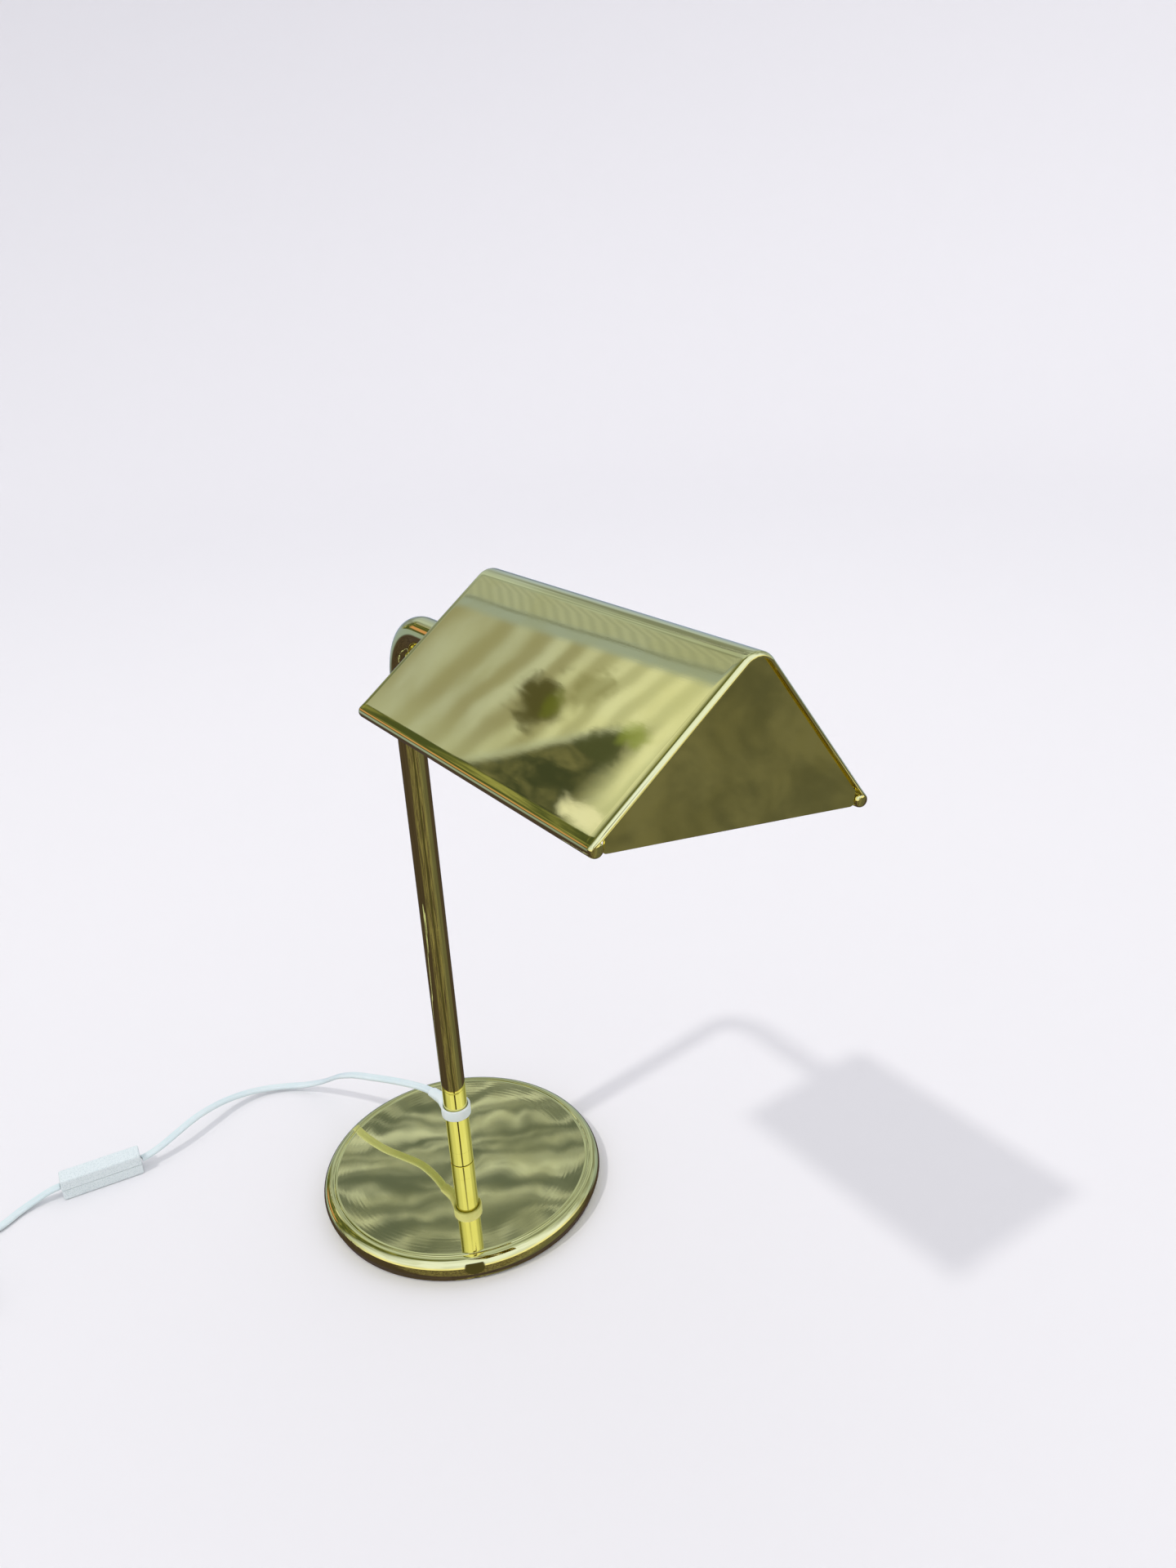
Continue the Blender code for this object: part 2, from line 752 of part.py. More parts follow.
def make_switch(plastic, brass, steel, frame):
    """Two shells on a horizontal seam, with contacts, a pin and two screws."""
    half = SWITCH_SIZE / 2
    wall = 0.0014
    low = SWITCH_LIFT
    high = SWITCH_LIFT + SWITCH_SIZE.z
    seam = (low + high) / 2
    channel = 0.00245
    round_outer = 0.0009
    screws = ((0.00385, 0.0195), (-0.00385, -0.0195))

    lower = block(
        "switch_lower_shell", (-half.x, -half.y, low), (half.x, half.y, seam - GAP / 2),
        plastic, frame, round_outer,
        lambda middle: middle.z < seam - 0.001,
    )
    cover = block(
        "switch_cover", (-half.x, -half.y, seam + GAP / 2), (half.x, half.y, high),
        plastic, frame, round_outer,
        lambda middle: middle.z > seam + 0.001,
    )
    cavity = block(
        "switch_cavity", (-half.x + wall, -0.0145, low + wall),
        (half.x - wall, 0.0145, high - wall), None, frame,
    )
    cord_way = rod("switch_cord_way", channel, -0.030, 0.030, None, frame, 16)
    cord_way.rotation_euler = (math.pi / 2, 0, 0)
    cord_way.location = (0, 0, seam)
    wheel_room = rod("switch_wheel_room", WHEEL_RADIUS + 0.0006,
                     seam - WHEEL_THICK / 2 - 0.0005, seam + WHEEL_THICK / 2 + 0.0005,
                     None, frame, 32)
    wheel_room.location = (WHEEL_SHIFT, 0, 0)
    for shell in (lower, cover):
        for helper in (cavity, cord_way, wheel_room):
            cut(shell, helper)

    for number, (x, y) in enumerate(screws, start=1):
        shaft = rod(f"switch_screw_hole_{number}", 0.00105, low - 0.001, high - 0.0030,
                    None, frame, 16)
        head = rod(f"switch_screw_head_{number}", 0.0016, low - 0.001, low + 0.0022,
                   None, frame, 16)
        shaft.location = head.location = (x, y, 0)
        cut(lower, shaft)
        cut(lower, head)
        cut(cover, shaft)
        screw = lathe(
            f"switch_screw_{number}",
            (
                (0, low + 0.0004),
                (0.0013, low + 0.0004),
                (0.0013, low + 0.0018),
                (0.0008, low + 0.0018),
                (0.0008, high - 0.0036),
                (0, high - 0.0036),
            ),
            steel,
            frame,
            16,
        )
        screw.location = (x, y, 0)

    for name, side in (("switch_contact_in", 1), ("switch_contact_out", -1)):
        ends = sorted((side * 0.0065, side * 0.0130))
        block(name, (0.0026, ends[0], seam - 0.0022), (0.0031, ends[1], seam + 0.0022),
              brass, frame)


def make_wheel(plastic, steel, frame):
    """The knurled wheel, with its own origin on the axis that it turns about."""
    seam = SWITCH_LIFT + SWITCH_SIZE.z / 2
    outline = []
    for i in range(WHEEL_TEETH):
        for share, radius in ((0.0, WHEEL_RADIUS), (0.5, WHEEL_RADIUS - 0.0006)):
            angle = math.tau * (i + share) / WHEEL_TEETH
            outline.append((radius * math.cos(angle), radius * math.sin(angle)))
    wheel = prism("switch_wheel", outline, -WHEEL_THICK / 2, WHEEL_THICK / 2, plastic,
                  frame)
    wheel.location = (WHEEL_SHIFT, 0, seam)
    bore = rod("switch_wheel_bore", 0.0010, -0.003, 0.003, None, frame, 24)
    bore.location = wheel.location
    cut(wheel, bore)
    reach = SWITCH_SIZE.z / 2 - 0.0014 - GAP
    pin = rod("switch_pin", 0.0009, -reach, reach, steel, frame, 24)
    pin.location = wheel.location


def make_plug(vinyl, brass):
    """A moulded body lying on its flat side, with two parallel blades."""
    frame = empty("plug_frame", PLUG_AT, (0, 0, math.radians(PLUG_TURN)))
    low = 0.0002
    middle = low + PLUG_SIZE.z / 2
    half = PLUG_SIZE.y / 2
    body = block(
        "plug_body", (0.0, -half, low), (PLUG_SIZE.x, half, low + PLUG_SIZE.z), vinyl,
        frame, 0.003, lambda place: place.x < PLUG_SIZE.x - 0.001,
    )
    for name, side in (("plug_blade_1", 1), ("plug_blade_2", -1)):
        y = side * BLADE_SPACING / 2
        thick = BLADE_SIZE.z / 2
        tall = BLADE_SIZE.y / 2
        block(
            name,
            (PLUG_SIZE.x - 0.006, y - thick, middle - tall),
            (PLUG_SIZE.x + BLADE_SIZE.x, y + thick, middle + tall),
            brass,
            frame,
        )
        room = block(
            f"{name}_slot",
            (PLUG_SIZE.x - 0.006 - GAP, y - thick - GAP, middle - tall - GAP),
            (PLUG_SIZE.x + 0.001, y + thick + GAP, middle + tall + GAP),
            None,
            frame,
        )
        cut(body, room)


# ---- the lamp -------------------------------------------------------------------------------


def main():
    clear_scene()
    brass = material("polished_brass", (0.72, 0.60, 0.24), 1.0, 0.08)
    satin_brass = material("plain_brass", (0.66, 0.52, 0.24), 1.0, 0.30)
    nickel = material("nickel", (0.62, 0.61, 0.58), 1.0, 0.25)
    steel = material("zinc_steel", (0.52, 0.53, 0.54), 1.0, 0.35)
    iron = material("cast_iron", (0.07, 0.07, 0.07), 0.3, 0.70)
    felt = material("green_felt", (0.02, 0.07, 0.03), 0.0, 0.95)
    fibre = material("black_fibre", (0.03, 0.03, 0.03), 0.0, 0.60)
    glass = material("frosted_glass", (0.90, 0.90, 0.88), 0.0, 0.35)
    vinyl = material("white_vinyl", (0.80, 0.84, 0.83), 0.0, 0.35)
    nylon = material("white_nylon", (0.82, 0.85, 0.83), 0.0, 0.30)
    rubber = material("black_tie", (0.03, 0.03, 0.03), 0.0, 0.60)
    tungsten = material("tungsten", (0.30, 0.30, 0.31), 1.0, 0.40)

    shade = empty(
        "shade_pivot", (0, 0, ARM_HEIGHT), Euler((math.radians(SHADE_TILT), 0, 0))
    )
    switch = empty("switch_frame", SWITCH_AT, (0, 0, math.radians(SWITCH_TURN)))

    make_base(brass, iron, steel, felt)
    make_stem(brass)
    make_swivel(satin_brass, steel, fibre, shade)
    make_shade(brass, shade)
    make_socket(satin_brass, fibre, shade)
    make_bulb(glass, nickel, tungsten, shade)
    make_clip(nylon)
    make_cords(vinyl)
    make_tie(rubber)
    make_switch(vinyl, satin_brass, steel, switch)
    make_wheel(vinyl, steel, switch)
    make_plug(vinyl, nickel)


main()
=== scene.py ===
"""Looks for the banker's desk lamp: fine brass sheet, tube and turned pieces over the
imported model, a flat lamp lead with its coil, procedural materials, and a pale studio.

Metres, +Z up. The origin is on the table, under the middle of the base. The arm runs
along +X, and the shade tilts about the arm's axis.
"""

import math

import bmesh
import bpy
from mathutils import Matrix, Vector, noise


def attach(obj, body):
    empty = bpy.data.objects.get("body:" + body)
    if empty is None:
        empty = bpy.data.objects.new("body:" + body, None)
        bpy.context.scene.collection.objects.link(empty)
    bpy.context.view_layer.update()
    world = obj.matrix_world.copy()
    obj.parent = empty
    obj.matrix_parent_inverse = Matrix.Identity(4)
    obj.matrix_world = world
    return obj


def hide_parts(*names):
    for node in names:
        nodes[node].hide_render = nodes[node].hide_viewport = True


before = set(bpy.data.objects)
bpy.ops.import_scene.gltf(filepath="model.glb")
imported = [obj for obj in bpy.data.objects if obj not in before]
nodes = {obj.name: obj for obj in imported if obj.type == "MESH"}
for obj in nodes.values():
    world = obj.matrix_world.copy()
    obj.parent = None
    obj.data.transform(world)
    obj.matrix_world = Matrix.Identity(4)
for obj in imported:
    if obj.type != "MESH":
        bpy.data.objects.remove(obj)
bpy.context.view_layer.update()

# ---- the lamp's dimensions, as the CAD has them ----

GAP = 0.0003
SHEET = 0.001
BASE_RADIUS = 0.089
BASE_HEIGHT = 0.015
BASE_RIM = 0.0065
STUD_RADIUS = 0.0049
STEM_RADIUS = 0.0075
STEM_WALL = 0.001
TUBE_START = 0.0256
ARM_HEIGHT = 0.375
BEND_RADIUS = 0.034
ARM_END = 0.084
SHADE_START = 0.095
SHADE_LENGTH = 0.180
SHADE_TILT = math.radians(-8.5)
RIDGE_TOP = 0.042
RIDGE_RADIUS = 0.0095
HALF_WIDTH = 0.064
LOWEST = -0.022
HEM_RADIUS = 0.003
GABLE_INSET = 0.0015
NIPPLE_RADIUS = 0.004
BULB_END = 0.250
CLIP_LOW = 0.0525
CLIP_HIGH = 0.0596
CLIP_WALL = 0.0015
NOSE_TIP = Vector((-0.026, -0.004, 0.055))
CORD_WIDTH = 0.0056
CORD_THICK = 0.0028
COIL_AT = Vector((-0.100, -0.312, 0.0))
PLUG_AT = Vector((-0.0520, -0.3385, 0.0))
PLUG_TURN = math.radians(8.0)
PLUG_SIZE = Vector((0.028, 0.022, 0.013))
PLUG_LOW = 0.0002

SHADE_FRAME = Matrix.Translation((0, 0, ARM_HEIGHT)) @ Matrix.Rotation(SHADE_TILT, 4, "X")
ARM_FRAME = Matrix.Translation((0, 0, ARM_HEIGHT))

# the lead's middle line from the clip to the switch, on to the coil, and from it to the plug
LAMP_ROUTE = (
    (-0.0265, -0.0041, 0.0549),
    (-0.0360, -0.0052, 0.0522),
    (-0.0485, -0.0088, 0.0491),
    (-0.0620, -0.0160, 0.0474),
    (-0.0760, -0.0243, 0.0453),
    (-0.0910, -0.0309, 0.0413),
    (-0.1015, -0.0345, 0.0365),
    (-0.1115, -0.0366, 0.0306),
    (-0.1230, -0.0386, 0.0223),
    (-0.1338, -0.0412, 0.0147),
    (-0.1425, -0.0448, 0.0095),
    (-0.1518, -0.0511, 0.0052),
    (-0.1609, -0.0617, 0.0036),
    (-0.1665, -0.0760, 0.0045),
    (-0.1670, -0.0896, 0.0068),
    (-0.1638, -0.1050, 0.0098),
    (-0.1575, -0.1208, 0.0123),
    (-0.1523, -0.1324, 0.0127),
    (-0.1475, -0.1433, 0.0117),
    (-0.1440, -0.1544, 0.0096),
    (-0.1426, -0.1625, 0.0081),
    (-0.1418, -0.1688, 0.0077),
)
MAINS_ROUTE = (
    (-0.1479, -0.2198, 0.0077),
    (-0.1486, -0.2255, 0.0070),
    (-0.1494, -0.2340, 0.0042),
    (-0.1466, -0.2460, 0.0024),
    (-0.1402, -0.2585, 0.0023),
    (-0.1374, -0.2720, 0.0025),
    (-0.1374, -0.2830, 0.0028),
    (-0.1385, -0.2955, 0.0031),
)
TAIL_ROUTE = (
    (-0.0740, -0.3436, 0.0090),
    (-0.0670, -0.3418, 0.0080),
    (-0.0600, -0.3400, 0.0071),
    (-0.0530, -0.3386, 0.0067),
)

# ---- camera ----

CAMERA_AT = Vector((0.547, -0.2428, 0.529))
CAMERA_FORWARD = Vector((-0.7696, 0.50167, -0.39503))
CAMERA_UP = Vector((-0.29989, 0.26221, 0.91723))

camera_data = bpy.data.cameras.new("camera")
camera_data.sensor_width = 36.0
camera_data.lens = 26.35
camera_data.clip_start = 0.01
camera = bpy.data.objects.new("camera", camera_data)
right = CAMERA_FORWARD.cross(CAMERA_UP).normalized()
above = right.cross(CAMERA_FORWARD).normalized()
camera.matrix_world = Matrix.Translation(CAMERA_AT) @ Matrix(
    (right, above, -CAMERA_FORWARD.normalized())
).transposed().to_4x4()
bpy.context.scene.collection.objects.link(camera)
bpy.context.scene.camera = camera
bpy.context.scene.view_settings.view_transform = "Standard"

# ---- node trees ----


class Net:
    """Adds nodes to a tree. Values may be numbers, tuples or other nodes' outputs."""

    def __init__(self, tree):
        self.tree = tree

    def node(self, kind, **settings):
        made = self.tree.nodes.new(kind)
        for name, value in settings.items():
            setattr(made, name, value)
        return made

    def put(self, socket, value):
        if isinstance(value, bpy.types.NodeSocket):
            self.tree.links.new(value, socket)
        elif value is not None:
            socket.default_value = value

    def math(self, operation, a, b=None, c=None):
        made = self.node("ShaderNodeMath", operation=operation)
        for socket, value in zip(made.inputs, (a, b, c)):
            self.put(socket, value)
        return made.outputs[0]

    def dot(self, a, b):
        made = self.node("ShaderNodeVectorMath", operation="DOT_PRODUCT")
        self.put(made.inputs[0], a)
        self.put(made.inputs[1], b)
        return made.outputs["Value"]

    def scaled(self, vector, size):
        made = self.node("ShaderNodeVectorMath", operation="MULTIPLY")
        self.put(made.inputs[0], vector)
        self.put(made.inputs[1], size)
        return made.outputs[0]

    def ramp(self, value, low, high, start=0.0, end=1.0):
        """A smooth step from start to end as value goes from low to high."""
        made = self.node("ShaderNodeMapRange", interpolation_type="SMOOTHSTEP")
        names = ("Value", "From Min", "From Max", "To Min", "To Max")
        for name, given in zip(names, (value, low, high, start, end)):
            self.put(made.inputs[name], given)
        return made.outputs[0]

    def window(self, value, low, high, soft):
        """One between low and high, and nothing beyond, over a soft edge."""
        rise = self.ramp(value, low - soft, low + soft)
        return self.times(rise, self.ramp(value, high - soft, high + soft, 1, 0))

    def times(self, a, b):
        return self.math("MULTIPLY", a, b)

    def plus(self, a, b):
        return self.math("ADD", a, b)

    def minus(self, a, b):
        return self.math("SUBTRACT", a, b)

    def hypot(self, a, b):
        squares = self.plus(self.math("POWER", a, 2.0), self.math("POWER", b, 2.0))
        return self.math("SQRT", squares)

    def mix(self, share, a, b):
        made = self.node("ShaderNodeMix", data_type="RGBA", blend_type="MIX")
        made.clamp_factor = True
        self.put(made.inputs[0], share)
        for socket, value in ((made.inputs[6], a), (made.inputs[7], b)):
            if isinstance(value, tuple) and len(value) == 3:
                value = (*value, 1.0)
            self.put(socket, value)
        return made.outputs[2]

    def blend(self, value, low, high, a, b):
        """Colour a where value is under low, and b where it is over high."""
        return self.mix(self.ramp(value, low, high), a, b)

    def noise(self, vector, scale, detail=3.0, roughness=0.5, distortion=0.0):
        made = self.node("ShaderNodeTexNoise")
        self.put(made.inputs["Vector"], vector)
        names = ("Scale", "Detail", "Roughness", "Distortion")
        for name, value in zip(names, (scale, detail, roughness, distortion)):
            made.inputs[name].default_value = value
        return made.outputs["Fac"]

    def voronoi(self, vector, scale):
        made = self.node("ShaderNodeTexVoronoi", feature="F1")
        self.put(made.inputs["Vector"], vector)
        made.inputs["Scale"].default_value = scale
        return made.outputs["Distance"]

    def combine(self, x, y, z=0.0):
        made = self.node("ShaderNodeCombineXYZ")
        for socket, value in zip(made.inputs, (x, y, z)):
            self.put(socket, value)
        return made.outputs[0]

    def bump(self, height, distance, normal=None):
        made = self.node("ShaderNodeBump")
        made.inputs["Strength"].default_value = 1.0
        made.inputs["Distance"].default_value = distance
        self.put(made.inputs["Height"], height)
        self.put(made.inputs["Normal"], normal)
        return made.outputs[0]


def material(name):
    """A new material: its nodes, its Principled shader and the object's own coordinates."""
    made = bpy.data.materials.new(name)
    made.use_nodes = True
    net = Net(made.node_tree)
    place = net.node("ShaderNodeTexCoord").outputs["Object"]
    return made, net, made.node_tree.nodes["Principled BSDF"], place


def coat(net, shader, colour, roughness, normal=None, metallic=0.0):
    """Links a colour, a roughness and a bump to the shader, and sets how metallic it is."""
    net.put(shader.inputs["Base Color"], colour)
    net.put(shader.inputs["Roughness"], roughness)
    net.put(shader.inputs["Normal"], normal)
    shader.inputs["Metallic"].default_value = metallic


def polished_brass():
    made, net, shader, place = material("polished_brass")
    smudge = net.noise(place, 26.0, 4.0, 0.6, 0.3)
    grain = net.noise(place, 1500.0, 2.0, 0.6)
    hairs = net.noise(net.scaled(place, (60.0, 900.0, 900.0)), 1.0, 3.0, 0.7)
    colour = net.blend(smudge, 0.35, 0.7, (0.955, 0.862, 0.300), (0.925, 0.825, 0.262))
    rough = net.ramp(smudge, 0.35, 0.75, 0.012, 0.03)
    rough = net.math("MULTIPLY_ADD", grain, 0.02, rough)
    fine = net.bump(hairs, 0.000001)
    coat(net, shader, colour, rough, net.bump(grain, 0.0000006, fine), metallic=1.0)
    return made


def plain_brass():
    made, net, shader, place = material("plain_brass")
    stain = net.noise(place, 180.0, 5.0, 0.65)
    turned = net.noise(net.scaled(place, (2400.0, 90.0, 90.0)), 1.0, 2.0)
    colour = net.blend(stain, 0.4, 0.7, (0.80, 0.62, 0.26), (0.58, 0.41, 0.17))
    rough = net.ramp(stain, 0.3, 0.8, 0.22, 0.42)
    coat(net, shader, colour, rough, net.bump(turned, 0.00001), metallic=1.0)
    return made


def cast_iron():
    made, net, shader, place = material("cast_iron")
    pits = net.voronoi(place, 900.0)
    scale = net.noise(place, 320.0, 6.0, 0.7)
    colour = net.blend(scale, 0.35, 0.7, (0.055, 0.052, 0.050), (0.12, 0.085, 0.065))
    rough = net.ramp(scale, 0.2, 0.8, 0.55, 0.8)
    sand = net.bump(pits, 0.00025)
    coat(net, shader, colour, rough, net.bump(scale, 0.0003, sand), metallic=0.6)
    return made


def felt():
    made, net, shader, place = material("felt")
    tufts = net.noise(place, 1400.0, 4.0, 0.75, 0.8)
    cloud = net.noise(place, 60.0, 3.0)
    colour = net.blend(tufts, 0.3, 0.7, (0.012, 0.030, 0.018), (0.035, 0.075, 0.045))
    rough = net.ramp(cloud, 0.3, 0.7, 0.9, 1.0)
    coat(net, shader, colour, rough, net.bump(tufts, 0.0003))
    shader.inputs["Sheen Weight"].default_value = 0.5
    shader.inputs["Sheen Roughness"].default_value = 0.6
    return made


def zinc_steel():
    made, net, shader, place = material("zinc_steel")
    spangle = net.voronoi(place, 650.0)
    haze = net.noise(place, 240.0, 4.0)
    colour = net.mix(spangle, (0.66, 0.67, 0.70), (0.50, 0.52, 0.55))
    rough = net.ramp(haze, 0.3, 0.7, 0.25, 0.42)
    coat(net, shader, colour, rough, net.bump(haze, 0.00003), metallic=1.0)
    return made


def moulded(name, light, dark, low, high, pebble, depth, soft=0.0):
    """A moulded plastic or rubber: two close colours, a roughness range and a fine texture."""
    made, net, shader, place = material(name)
    cloud = net.noise(place, 70.0, 4.0, 0.6)
    texture = net.noise(place, pebble, 3.0, 0.55)
    colour = net.blend(cloud, 0.3, 0.7, light, dark)
    rough = net.ramp(cloud, 0.3, 0.7, low, high)
    coat(net, shader, colour, rough, net.bump(texture, depth))
    if soft:
        shader.inputs["Subsurface Weight"].default_value = soft
        shader.inputs["Subsurface Radius"].default_value = (0.004, 0.003, 0.003)
        shader.inputs["Subsurface Scale"].default_value = 0.3
    return made


def nickel():
    made, net, shader, place = material("nickel")
    wear = net.noise(place, 300.0, 4.0, 0.6)
    colour = net.blend(wear, 0.4, 0.7, (0.78, 0.77, 0.74), (0.66, 0.64, 0.60))
    rough = net.ramp(wear, 0.3, 0.7, 0.12, 0.28)
    coat(net, shader, colour, rough, net.bump(wear, 0.00001), metallic=1.0)
    return made


def frosted_glass():
    made, net, shader, place = material("frosted_glass")
    frost = net.noise(place, 2600.0, 2.0, 0.6)
    colour = net.blend(frost, 0.3, 0.7, (0.97, 0.97, 0.96), (0.90, 0.91, 0.91))
    rough = net.ramp(frost, 0.3, 0.7, 0.35, 0.5)
    coat(net, shader, colour, rough, net.bump(frost, 0.000006))
    shader.inputs["Transmission Weight"].default_value = 0.65
    shader.inputs["IOR"].default_value = 1.45
    return made


def tungsten():
    made, net, shader, place = material("tungsten")
    coil = net.noise(place, 4000.0, 1.0)
    colour = net.mix(coil, (0.32, 0.31, 0.30), (0.22, 0.21, 0.21))
    coat(net, shader, colour, net.ramp(coil, 0.3, 0.7, 0.4, 0.55), metallic=1.0)
    return made


def switch_plastic():
    """White moulded plastic with a close pattern of fine dots all over it."""
    made, net, shader, place = material("switch_plastic")
    cloud = net.noise(place, 90.0, 4.0)
    dots = net.voronoi(place, 1150.0)
    colour = net.blend(dots, 0.15, 0.45, (0.62, 0.72, 0.72), (0.83, 0.91, 0.90))
    rough = net.ramp(cloud, 0.3, 0.7, 0.32, 0.45)
    coat(net, shader, colour, rough, net.bump(net.ramp(dots, 0.1, 0.5), 0.00006))
    return made


MATERIALS = {
    "polished_brass": polished_brass(),
    "plain_brass": plain_brass(),
    "cast_iron": cast_iron(),
    "felt": felt(),
    "zinc_steel": zinc_steel(),
    "black_fibre": moulded(
        "black_fibre", (0.022, 0.020, 0.019), (0.036, 0.032, 0.029), 0.5, 0.7, 900.0, 0.00004
    ),
    "nickel": nickel(),
    "frosted_glass": frosted_glass(),
    "tungsten": tungsten(),
    "white_vinyl": moulded(
        "white_vinyl", (0.80, 0.90, 0.89), (0.74, 0.86, 0.86), 0.3, 0.42, 700.0, 0.00002, 0.1
    ),
    "white_nylon": moulded(
        "white_nylon", (0.86, 0.93, 0.91), (0.80, 0.89, 0.88), 0.28, 0.4, 500.0, 0.00002, 0.2
    ),
    "switch_plastic": switch_plastic(),
    "black_tie": moulded(
        "black_tie", (0.018, 0.018, 0.019), (0.03, 0.03, 0.032), 0.35, 0.5, 800.0, 0.00002
    ),
}

# ---- mesh helpers ----


def piece(name, bm, finish, body, matrix=None, sharp=35.0, stands_for=()):
    """Puts a bmesh in the scene as a smooth piece that rides a body with a record finish."""
    bmesh.ops.remove_doubles(bm, verts=bm.verts, dist=1e-6)
    bmesh.ops.recalc_face_normals(bm, faces=bm.faces)
    if matrix is not None:
        bmesh.ops.transform(bm, matrix=matrix, verts=bm.verts)
    mesh = bpy.data.meshes.new(name)
    bm.to_mesh(mesh)
    bm.free()
    mesh.shade_smooth()
    mesh.set_sharp_from_angle(angle=math.radians(sharp))
    mesh.materials.append(MATERIALS[finish])
    obj = bpy.data.objects.new(name, mesh)
    bpy.context.scene.collection.objects.link(obj)
    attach(obj, body)
    if stands_for:
        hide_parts(*stands_for)
    return obj


def arc(centre, radius, start, end, steps):
    """Points round a circle, from one angle to another in degrees."""
    points = []
    for i in range(steps + 1):
        angle = math.radians(start + (end - start) * i / steps)
        x = centre[0] + radius * math.cos(angle)
        points.append((x, centre[1] + radius * math.sin(angle)))
    return points


def line(a, b, steps):
    """Points from a up to, but not including, b."""
    return [tuple(Vector(a).lerp(Vector(b), i / steps)) for i in range(steps)]


def skin(bm, rings, cap_first=False, cap_last=False):
    """Joins rings of points by quads, and closes the first and last rings if asked."""
    made = [[bm.verts.new(p) for p in ring] for ring in rings]
    for a, b in zip(made, made[1:]):
        for i in range(len(a)):
            j = (i + 1) % len(a)
            bm.faces.new((a[i], a[j], b[j], b[i]))
    if cap_first:
        bm.faces.new(list(reversed(made[0])))
    if cap_last:
        bm.faces.new(made[-1])


def turned_mesh(profile, segments, along="Z"):
    """A closed body turned from (radius, height) points about Z, or about X."""
    bm = bmesh.new()
    rings = []
    for radius, height in profile:
        ring = []
        for i in range(segments):
            angle = math.tau * i / segments
            x, y = radius * math.cos(angle), radius * math.sin(angle)
            ring.append((x, y, height) if along == "Z" else (height, x, y))
        rings.append(ring)
    if profile[0][0] > 0 or profile[-1][0] > 0:
        rings.append(rings[0])
    skin(bm, rings)
    bmesh.ops.remove_doubles(bm, verts=bm.verts, dist=1e-7)
    bmesh.ops.dissolve_degenerate(bm, edges=bm.edges, dist=1e-8)
    return bm


def rounded_washer(inner, outer, low, high, edge, steps=3):
    """A washer's (radius, height) section with all four corners rounded."""
    corners = (
        ((inner + edge, low + edge), 180, 270),
        ((outer - edge, low + edge), 270, 360),
        ((outer - edge, high - edge), 0, 90),
        ((inner + edge, high - edge), 90, 180),
    )
    profile = []
    for centre, start, end in corners:
        profile += arc(centre, edge, start, end, steps)
    return profile


def rounded_ring(centre, side, over, wide, tall, power, count=36):
    """A ring round a centre, from an ellipse at power 2 to nearly a rectangle above 4."""
    ring = []
    for k in range(count):
        angle = math.tau * k / count
        c, s = math.cos(angle), math.sin(angle)
        bulge = (abs(c) ** power + abs(s) ** power) ** (-1 / power)
        ring.append(centre + side * (wide * c * bulge) + over * (tall * s * bulge))
    return ring


def smooth_route(points, spacing):
    """Evenly spaced points on a Catmull-Rom curve through the route's own points."""
    route = [Vector(p) for p in points]
    padded = [2 * route[0] - route[1], *route, 2 * route[-1] - route[-2]]
    fine = []
    for a, b, c, d in zip(padded, padded[1:], padded[2:], padded[3:]):
        for step in range(12):
            t = step / 12
            curve = 2 * b + (c - a) * t + (2 * a - 5 * b + 4 * c - d) * t * t
            curve += (3 * b - a - 3 * c + d) * t**3
            fine.append(0.5 * curve)
    fine.append(route[-1])
    lengths = [0.0]
    for a, b in zip(fine, fine[1:]):
        lengths.append(lengths[-1] + (b - a).length)
    count = max(2, round(lengths[-1] / spacing))
    evenly, i = [], 0
    for k in range(count + 1):
        target = lengths[-1] * k / count
        while i < len(fine) - 2 and lengths[i + 1] < target:
            i += 1
        share = (target - lengths[i]) / (lengths[i + 1] - lengths[i])
        evenly.append(fine[i].lerp(fine[i + 1], share))
    return evenly


def heading(points, i):
    """The direction of a row of points at its i-th point."""
    return (points[min(i + 1, len(points) - 1)] - points[max(i - 1, 0)]).normalized()


def smoothstep(value, low, high):
    """From 0 at low to 1 at high, level at both ends."""
    t = min(1.0, max(0.0, (value - low) / (high - low)))
    return t * t * (3 - 2 * t)


# ---- the lead ----


def lead_section():
    """Two round conductors side by side with a shallow groove between them."""
    lobe = CORD_THICK / 2
    right_lobe = [(lobe + x, y) for x, y in arc((0, 0), lobe, -120, 120, 8)]
    groove = (0.0, 0.72 * lobe)
    left_lobe = [(-x, -y) for x, y in right_lobe]
    return right_lobe + [groove] + left_lobe + [(0.0, -groove[1])]


def lead(name, centres, roll, body, stands_for):
    """Sweeps the flat lead along its points. roll(i) turns it from flat to on edge."""
    section = lead_section()
    rings = []
    for i, centre in enumerate(centres):
        tangent = heading(centres, i)
        side = Vector((0, 0, 1)).cross(tangent).normalized()
        over = tangent.cross(side)
        turn = roll(i)
        wide = side * math.cos(turn) + over * math.sin(turn)
        thin = over * math.cos(turn) - side * math.sin(turn)
        rings.append([centre + wide * a + thin * b for a, b in section])
    bm = bmesh.new()
    skin(bm, rings, cap_first=True, cap_last=True)
    return piece(name, bm, "white_vinyl", body, sharp=60, stands_for=stands_for)


